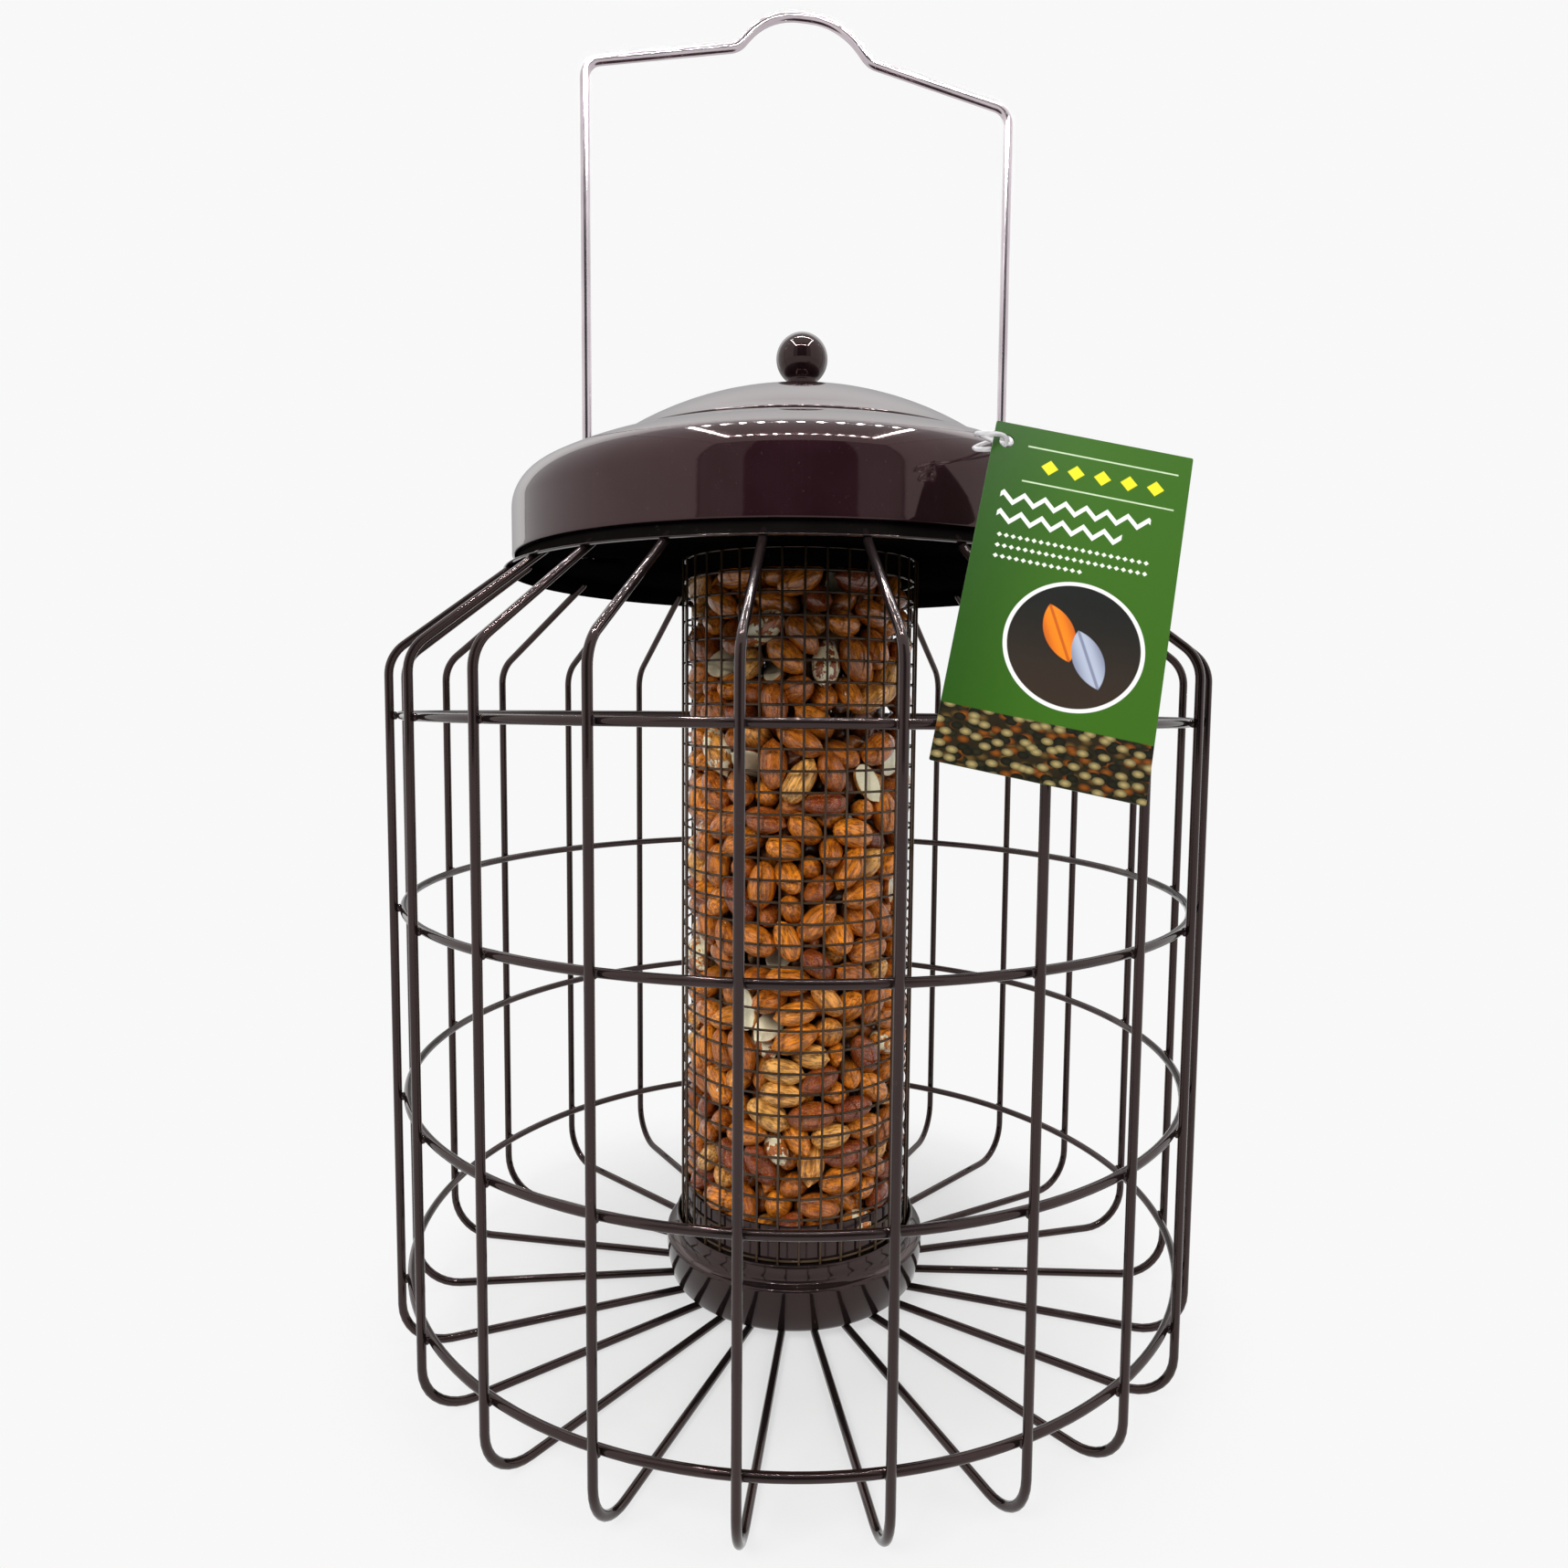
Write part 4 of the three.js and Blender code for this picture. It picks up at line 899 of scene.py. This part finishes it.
def nut_kind(flat_side, gen):
    """Tone, flaking and flat side of every vertex of a nut, as a colour."""
    tone = float(np.clip(gen.normal(0.5, 0.27), 0, 1))
    flaked = float(gen.choice((0.0, 0.35, 0.7, 1.4), p=(0.46, 0.32, 0.19, 0.03)))
    return [(tone, flaked / FLAKED_MOST, flat, 1.0) for flat in flat_side]


def peanuts():
    """All nuts but the ones that never show, each with its own patch of texture space."""
    centres, axes, sizes, gen = pack_nuts(NUT_COUNT, NUT_SEED)
    shapes = [nut_shape(number, gen) for number in range(NUT_SHAPES)]
    nuts, spots, kinds = [], [], []
    for centre, axis, size in zip(centres, axes, sizes):
        if hypot(*centre[:2]) < HIDDEN_R and centre[2] < NUT_TOP - HIDDEN_DEPTH:
            continue
        pick = choose_shape(gen)
        shape, faces, flat_side = shapes[pick]
        verts = (shape * size * NUT_SCALE) @ nut_basis(pick, axis, centre, gen) + centre
        nuts.append((verts, faces))
        spots.append(shape + gen.uniform(-40, 40, 3))
        kinds.append(nut_kind(flat_side, gen))
    heap = piece("peanuts", merge(nuts), PEANUT, "peanut_fill", slot="peanut")
    store(heap.data, "nut_place", "vector", np.concatenate(spots))
    store(heap.data, "nut_kind", "color", np.concatenate(kinds))


# Lid.
def pan_skin(inset):
    """The pan's profile from the screw hole out and down, moved in by inset."""
    seat_angle = degrees(acos((SEAT_R - DOME[0]) / DOME_R))
    seat = SEAT_Z - inset
    points = [(SCREW_HOLE_R, seat), (SEAT_ROW_R, seat), (SEAT_R - 2, seat)]
    points += arc(DOME[0], DOME[1], DOME_R - inset, seat_angle, SHOULDER_ARC_DEG, 10)
    points += arc(SHOULDER[0], SHOULDER[1], SHOULDER_R - inset, SHOULDER_ARC_DEG, 0, 12)[1:]
    return points + [(LID_R - inset, SKIRT_ROW_Z)]


def lid_pan():
    rolled_edge = arc(LID_R - SHEET / 2, LID_FOOT + 0.5, 0.42, 0, -180, 6)
    outline = pan_skin(0) + [(LID_R, LID_FOOT + 1.4)] + rolled_edge
    outline += [(LID_R - SHEET, LID_FOOT + 1.4)] + pan_skin(SHEET)[::-1]
    pan = add_mesh("lid_shell", *lathe(outline, 184), BROWN_LID)
    drill_leg_holes(pan, LID_LEG_HOLE, 228, 256)
    place(pan, "lid", "brown_enamel", "lid_pan")


def lid_cap():
    centre = CAP_FOOT + CAP_RISE - CAP_BEND
    rim_angle = degrees(acos(CAP_R / CAP_BEND))
    hole_angle = degrees(acos(SCREW_HOLE_R / CAP_BEND))
    outline = arc(0, centre, CAP_BEND, hole_angle, rim_angle + 1.0, 16)
    outline += [(CAP_R, CAP_FOOT + 0.35), (CAP_R - 0.05, CAP_FOOT + 0.05), (CAP_R - 0.5, CAP_FOOT)]
    outline += arc(0, centre, CAP_BEND - SHEET, rim_angle + 1.4, hole_angle, 16)
    piece("lid_dome", lathe(outline, 144), BROWN_LID, "lid_cap", body="lid")


def lid_knob():
    """A ball on a short neck, with a blind bore for the screw."""
    outline = [(0, KNOB_FOOT + KNOB_BORE), (SCREW_HOLE_R, KNOB_FOOT + KNOB_BORE), (SCREW_HOLE_R, KNOB_FOOT),
               (KNOB_NECK_R - 0.3, KNOB_FOOT), (KNOB_NECK_R, KNOB_FOOT + 0.3), (KNOB_NECK_R, KNOB_Z - 6.3)]
    outline += arc(0, KNOB_Z, KNOB_R, -52, 90, 24)[:-1] + [(0, KNOB_Z + KNOB_R)]
    piece("ball_knob", lathe(outline, 64, closed=False), BROWN_KNOB, "lid_knob", body="lid")


def zinc_fastenings():
    """The washer and the screw keep their CAD solids."""
    for node in ("lid_washer", "knob_screw"):
        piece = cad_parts[node]
        piece.data.materials.clear()
        piece.data.materials.append(ZINC)


# Handle, whose feet under the plate get the near-black painted-shade material.
HANDLE_SHADED_BELOW = 214.6


def bail_handle():
    half = [(HANDLE_FOOT_END, HANDLE_FOOT_Z), (HANDLE_LEG_R, HANDLE_FOOT_Z, 1.8),
            (HANDLE_LEG_R, HANDLE_CORNER_Z, 5), (*HUMP_FOOT, 6), (*HUMP_TOP, 19)]
    corners = half + [(-c[0], *c[1:]) for c in half[::-1]]
    rail = turned_points(bent(corners, BEND_STEPS), HANDLE_TURN)
    wire = sweep(rail, HANDLE_WIRE_R, 20, sideways(HANDLE_TURN))
    handle = piece("handle_wire", wire, CHROME, "bail_handle", slot="bright_wire")
    # Painted shade: the wire below the plate gets the dark shade material.
    handle.data.materials.append(BROWN_PAINTED_SHADE)
    for polygon in handle.data.polygons:
        polygon.material_index = int(polygon.center.z < HANDLE_SHADED_BELOW * MM)


# Tag.
CARD_EDGE_ROUND = 0.08
HOLE_STEPS = 24
turn_to_tag = (Matrix.Translation(TAG_HOLE)
               @ Matrix.Rotation(pi / 2 - TAG_LEAN, 4, "X") @ Matrix.Rotation(-TAG_TILT, 4, "Z"))


def card_outline(inset):
    """Rounded rectangle, counter-clockwise, in card millimetres from its lower left corner."""
    right, top = TAG_W - TAG_CORNER, TAG_H - TAG_CORNER
    points = []
    for cx, cy, start in ((right, top, 0), (TAG_CORNER, top, 90), (TAG_CORNER, TAG_CORNER, 180),
                          (right, TAG_CORNER, 270)):
        points += arc(cx, cy, TAG_CORNER - inset, start, start + 90, 5)
    return points


def loop_edges(loop):
    """Neighbours all round a closed row of vertices."""
    return list(zip(loop, loop[1:] + loop[:1]))


def card_layer(bm, side, inset):
    """The outer outline and the hole's rim at one level of the card's thickness."""
    hole_r = TAG_HOLE_R + inset * 0.6
    turns = np.linspace(0, 2 * pi, HOLE_STEPS, endpoint=False)
    outer = [bm.verts.new((x - TAG_HOLE_X, y - TAG_HOLE_Y, side)) for x, y in card_outline(inset)]
    inner = [bm.verts.new(on_circle(hole_r, -a, side)) for a in turns]
    return outer, inner


def card_solid():
    """The card round its hole, with slightly rounded edges, as a bmesh."""
    bm = bmesh.new()
    edge = TAG_HALF_THICK - CARD_EDGE_ROUND
    layers = [card_layer(bm, side, inset) for side, inset in
              ((-TAG_HALF_THICK, CARD_EDGE_ROUND), (-edge, 0), (edge, 0), (TAG_HALF_THICK, CARD_EDGE_ROUND))]
    for lower, upper in zip(layers, layers[1:]):
        for loop_a, loop_b in zip(lower, upper):
            for (a, next_a), (b, next_b) in zip(loop_edges(loop_a), loop_edges(loop_b)):
                bm.faces.new((a, next_a, next_b, b))
    for layer in (layers[0], layers[-1]):
        edges = [bm.edges.get(pair) for loop in layer for pair in loop_edges(loop)]
        bmesh.ops.triangle_fill(bm, edges=edges, use_beauty=True)
    bmesh.ops.recalc_face_normals(bm, faces=bm.faces)
    return bm


def card():
    bm = card_solid()
    for face in bm.faces:
        face.material_index = 0 if face.normal.z > 0.5 else 1
        face.smooth = abs(face.normal.z) < 0.99
    mesh = bpy.data.meshes.new("tag_card")
    bm.to_mesh(mesh)
    bm.free()
    store(mesh, "card_place", "vector", [(v.co.x + TAG_HOLE_X, v.co.y + TAG_HOLE_Y, v.co.z)
                                         for v in mesh.vertices])
    for v in mesh.vertices:
        v.co = (turn_to_tag @ v.co) * MM
    mesh.materials.append(TAG_FRONT)
    mesh.materials.append(TAG_BACK)
    place(add_object("tag_card", mesh), "tag", "tag_card", "hang_tag")


# Tag loop.
AROUND_LEG = HANDLE_WIRE_R + LOOP_LEG_GAP + LOOP_BEAD_R
LOOP_LEAVES = SHOULDER[0] + SHOULDER_R * 0.78
STRAND_POINTS, BACK_STEPS = 10, 6
THREAD_TURN = radians(30)
LEG = Vector(LEG_SPOTS[0])


def loop_strand(ahead, side, sign):
    """One strand on the lid, from the handle's leg to where the shoulder falls away."""
    along = LEG.dot(ahead)
    span = sqrt(along ** 2 - LEG.length_squared + LOOP_LEAVES ** 2) - along
    least = (CAP_R + HANDLE_LEG_R - HANDLE_WIRE_R) / 2 + 1 + sign
    points = []
    for i in range(STRAND_POINTS + 1):
        share = i / STRAND_POINTS
        spot = LEG + ahead * (span * share) + side * (sign * (AROUND_LEG + (1.0 - AROUND_LEG) * share))
        spot *= max(least / spot.length, 1)
        spot.z = lid_height(hypot(spot.x, spot.y)) + LOOP_LIFT
        points.append(spot)
    return points


def loop_round_leg(ahead, side):
    points = []
    for i in range(1, BACK_STEPS):
        a = pi * i / BACK_STEPS
        spot = LEG - side * (AROUND_LEG * cos(a)) - ahead * (AROUND_LEG * sin(a))
        spot.z = lid_height(LEG.length) + LOOP_LIFT
        points.append(spot)
    return points


def loop_through_card():
    """From one side of the card through its hole to the other side."""
    out, up, aside = Vector((0, -1, 0)), Vector((0, 0, 1)), Vector((1, 0, 0))
    normal = out * cos(TAG_LEAN) + up * sin(TAG_LEAN)
    card_up = out * -sin(TAG_LEAN) + up * cos(TAG_LEAN)
    thread = normal * cos(THREAD_TURN) + card_up * sin(THREAD_TURN)
    steps = ((6.5, 1.5), (1.5, 1.5), (0, 0), (1.5, -1.5), (6.5, -1.5))
    return [TAG_HOLE - aside * left + thread * through for left, through in steps]


def smooth_closed(points, steps):
    """Catmull-Rom points through a closed row of points."""
    count = len(points)
    made = []
    for i in range(count):
        p0, p1, p2, p3 = (points[(i + k - 1) % count] for k in range(4))
        for s in range(steps):
            t = s / steps
            made.append(0.5 * (2 * p1 + (p2 - p0) * t + (2 * p0 - 5 * p1 + 4 * p2 - p3) * t * t
                               + (3 * p1 - p0 - 3 * p2 + p3) * t ** 3))
    return made


def tag_loop():
    """The thread round the leg and through the card, with the bead that closes it."""
    ahead = TAG_HOLE - LEG
    ahead.z = 0
    ahead.normalize()
    side = Vector((-ahead.y, ahead.x, 0))
    rail = loop_strand(ahead, side, 1) + loop_through_card()
    rail += loop_strand(ahead, side, -1)[::-1] + loop_round_leg(ahead, side)
    bead = blob(rail[0], np.eye(3), (LOOP_BEAD_R, LOOP_BEAD_R, LOOP_BEAD_R * 0.9), 12, 18)
    tie = merge([sweep(smooth_closed(rail, 4), LOOP_R, 10, closed=True), bead])
    piece("tag_tie", tie, CLEAR, "tag_loop", body="lid", slot="clear_plastic")


# Floor, world, lights and camera, in metres unless a name says otherwise.
PALE = 0.939
FLOOR_GLOW, FLOOR_TONE = 0.555, 0.24
GLOW_NEAR, GLOW_FAR = 0.055, 0.14
FLOOR_Z, FLOOR_RADII_MM = -0.0002, (300, 900, 6000)
DIFFUSE_LIGHT = 0.28


def floor():
    """A pale floor that fades into the backdrop away from the feeder."""
    disc = lathe([(0, 0)] + [(radius, 0) for radius in FLOOR_RADII_MM], 96, closed=False)
    m, here = new_material("pale_floor")
    ray = m.node("LightPath").outputs
    seen = m.larger(ray["Is Camera Ray"], m.larger(ray["Is Glossy Ray"], ray["Is Transmission Ray"]))
    far = m.step(m.length(here), GLOW_NEAR, GLOW_FAR)
    m.set(Base_Color=m.mix(m.noise(here, 30), [FLOOR_TONE] * 3, [FLOOR_TONE * 1.02] * 3),
          Roughness=0.9, Specular_IOR_Level=0.0)
    glow, plain = (m.node("Emission", {"Strength": m.times(seen, strength)}).outputs[0]
                   for strength in (FLOOR_GLOW, PALE))
    near = m.node("AddShader", {0: m.shader.outputs[0], 1: glow}).outputs[0]
    surface = m.blend(m.times(far, seen), near, plain)
    m.feed(surface, m.tree.nodes["Material Output"].inputs["Surface"])
    obj = add_mesh("floor", *disc, m.material, smooth=False)
    obj.location.z = FLOOR_Z


# Distances from the feeder to the walls of the photo tent that the gloss shows.
TENT_SIDE, TENT_FRONT, TENT_BACK, TENT_TOP = 0.35, 0.456, 0.304, 0.608
OPENING = 0.376
SIDE_GLOW, WALL_GLOW, TOP_GLOW, OPENING_GLOW = 1.05, 0.45, 1.05, 0.03
BACK_MIDDLE_GLOW, BACK_EDGE_GLOW = 0.45, 1.95


def tent_glow(m):
    """How bright the tent is in a direction: the wall that is met first, dark or bright at its seams."""
    to_right, to_back, to_top = m.parts(m.node("TexCoord").outputs["Generated"])
    across = m.size_of(to_right)
    to_front = m.times(to_back, -1.0)
    open_front = m.math("LESS_THAN", across, m.times(to_front, OPENING))
    front_glow = m.plus(WALL_GLOW, m.times(open_front, OPENING_GLOW - WALL_GLOW))
    centred = m.step(to_back, 0.60, 0.97)
    back_glow = m.plus(BACK_EDGE_GLOW, m.times(centred, BACK_MIDDLE_GLOW - BACK_EDGE_GLOW))
    nearest = m.math("DIVIDE", across, TENT_SIDE)
    second = 0.0
    glow = SIDE_GLOW
    for way, distance, strength in ((to_back, TENT_BACK, back_glow), (to_front, TENT_FRONT, front_glow),
                                    (to_top, TENT_TOP, TOP_GLOW)):
        reach = m.math("DIVIDE", way, distance)
        closer = m.math("GREATER_THAN", reach, nearest)
        second = m.larger(second, m.math("MINIMUM", nearest, reach))
        nearest = m.larger(nearest, reach)
        glow = m.plus(glow, m.times(closer, m.minus(strength, glow)))
    seam = m.fall(m.minus(nearest, second), 0.0, 0.06)
    seam_gain = m.plus(m.times(closer, 1.3), -0.7)
    return m.times(glow, m.plus(1.0, m.times(seam, seam_gain)))


def studio():
    """A pale backdrop, even light, and for reflections the walls of a tent with an open front."""
    scene.world = bpy.data.worlds.new("studio")
    m = Nodes(scene.world)
    mirror, even, backdrop = (
        m.node("Background", {"Color": (1, 1, 1, 1), "Strength": strength}).outputs[0]
        for strength in (tent_glow(m), DIFFUSE_LIGHT, PALE))
    ray = m.node("LightPath").outputs
    seen = m.larger(ray["Is Camera Ray"], ray["Is Transmission Ray"])
    shown = m.blend(seen, m.blend(ray["Is Glossy Ray"], even, mirror), backdrop)
    m.feed(shown, m.tree.nodes["World Output"].inputs["Surface"])


def softbox(name, spot, target, width, height, power):
    lamp = bpy.data.lights.new(name, "AREA")
    lamp.shape = "RECTANGLE"
    lamp.size = width
    lamp.size_y = height
    lamp.energy = power
    obj = add_object(name, lamp)
    obj.location = spot
    obj.rotation_euler = (Vector(target) - Vector(spot)).to_track_quat("-Z", "Y").to_euler()
    obj.visible_glossy = False


def softboxes():
    softbox("key", spot=(-0.50, -0.75, 0.75), target=(0, 0, 0.15), width=0.45, height=0.45, power=11)
    softbox("fill", spot=(0.75, -0.60, 0.60), target=(0, 0, 0.15), width=0.30, height=0.70, power=6)
    softbox("top", spot=(0.0, 0.25, 1.30), target=(0, 0, 0.1), width=0.8, height=0.8, power=8)


FRAME_HEIGHT, FRAME_HALF, FRAME_FRONT, FRAME_BACK = 0.43, 0.092, -0.157, -0.005
BULB_PITCH = 0.0152
BULB_R, BULB_POWER = 0.0022, 0.09


def lamp_frame():
    """A frame of small bulbs under the tent's roof, only there to sparkle in the paint."""
    bulb = bpy.data.lights.new("bulb", "POINT")
    bulb.shadow_soft_size = BULB_R
    bulb.energy = BULB_POWER
    columns = round(2 * FRAME_HALF / BULB_PITCH)
    rows = round((FRAME_BACK - FRAME_FRONT) / BULB_PITCH)
    spots = [(i / columns, j) for j in (0, 1) for i in range(columns + 1)]
    spots += [(i, j / rows) for i in (0, 1) for j in range(1, rows)]
    for i, (right_share, back_share) in enumerate(spots):
        obj = add_object(f"bulb_{i}", bulb)
        obj.location = (FRAME_HALF * (2 * right_share - 1),
                        FRAME_FRONT + (FRAME_BACK - FRAME_FRONT) * back_share, FRAME_HEIGHT)
        obj.visible_camera = obj.visible_diffuse = obj.visible_transmission = False


# Fitted to the hoops in the photograph.
PHOTO_SIZE_PX, SHIFT_PX = 1717, -15.54
LENS_MM, SENSOR_MM = 23.13, 36
CAMERA_PITCH, CAMERA_ROLL = 0.0759, 0.0089
CAMERA_SPOT = (0, -0.2995, 0.17324)


def photo_camera():
    lens = bpy.data.cameras.new("camera")
    lens.lens, lens.sensor_width = LENS_MM, SENSOR_MM
    lens.shift_x = SHIFT_PX / PHOTO_SIZE_PX
    camera = add_object("camera", lens)
    camera.matrix_world = (Matrix.Translation(CAMERA_SPOT) @ Matrix.Rotation(pi / 2 - CAMERA_PITCH, 4, "X")
                           @ Matrix.Rotation(CAMERA_ROLL, 4, "Z"))
    return camera


cage_wires()
cage_hoops()
cage_welds()
top_plate()
mesh_tube()
base_cup()
tube_liner()
mouth_collar()
peanuts()
lid_pan()
lid_cap()
lid_knob()
zinc_fastenings()
bail_handle()
card()
tag_loop()
floor()
studio()
softboxes()
lamp_frame()
scene.camera = photo_camera()
scene.view_settings.view_transform = "Standard"
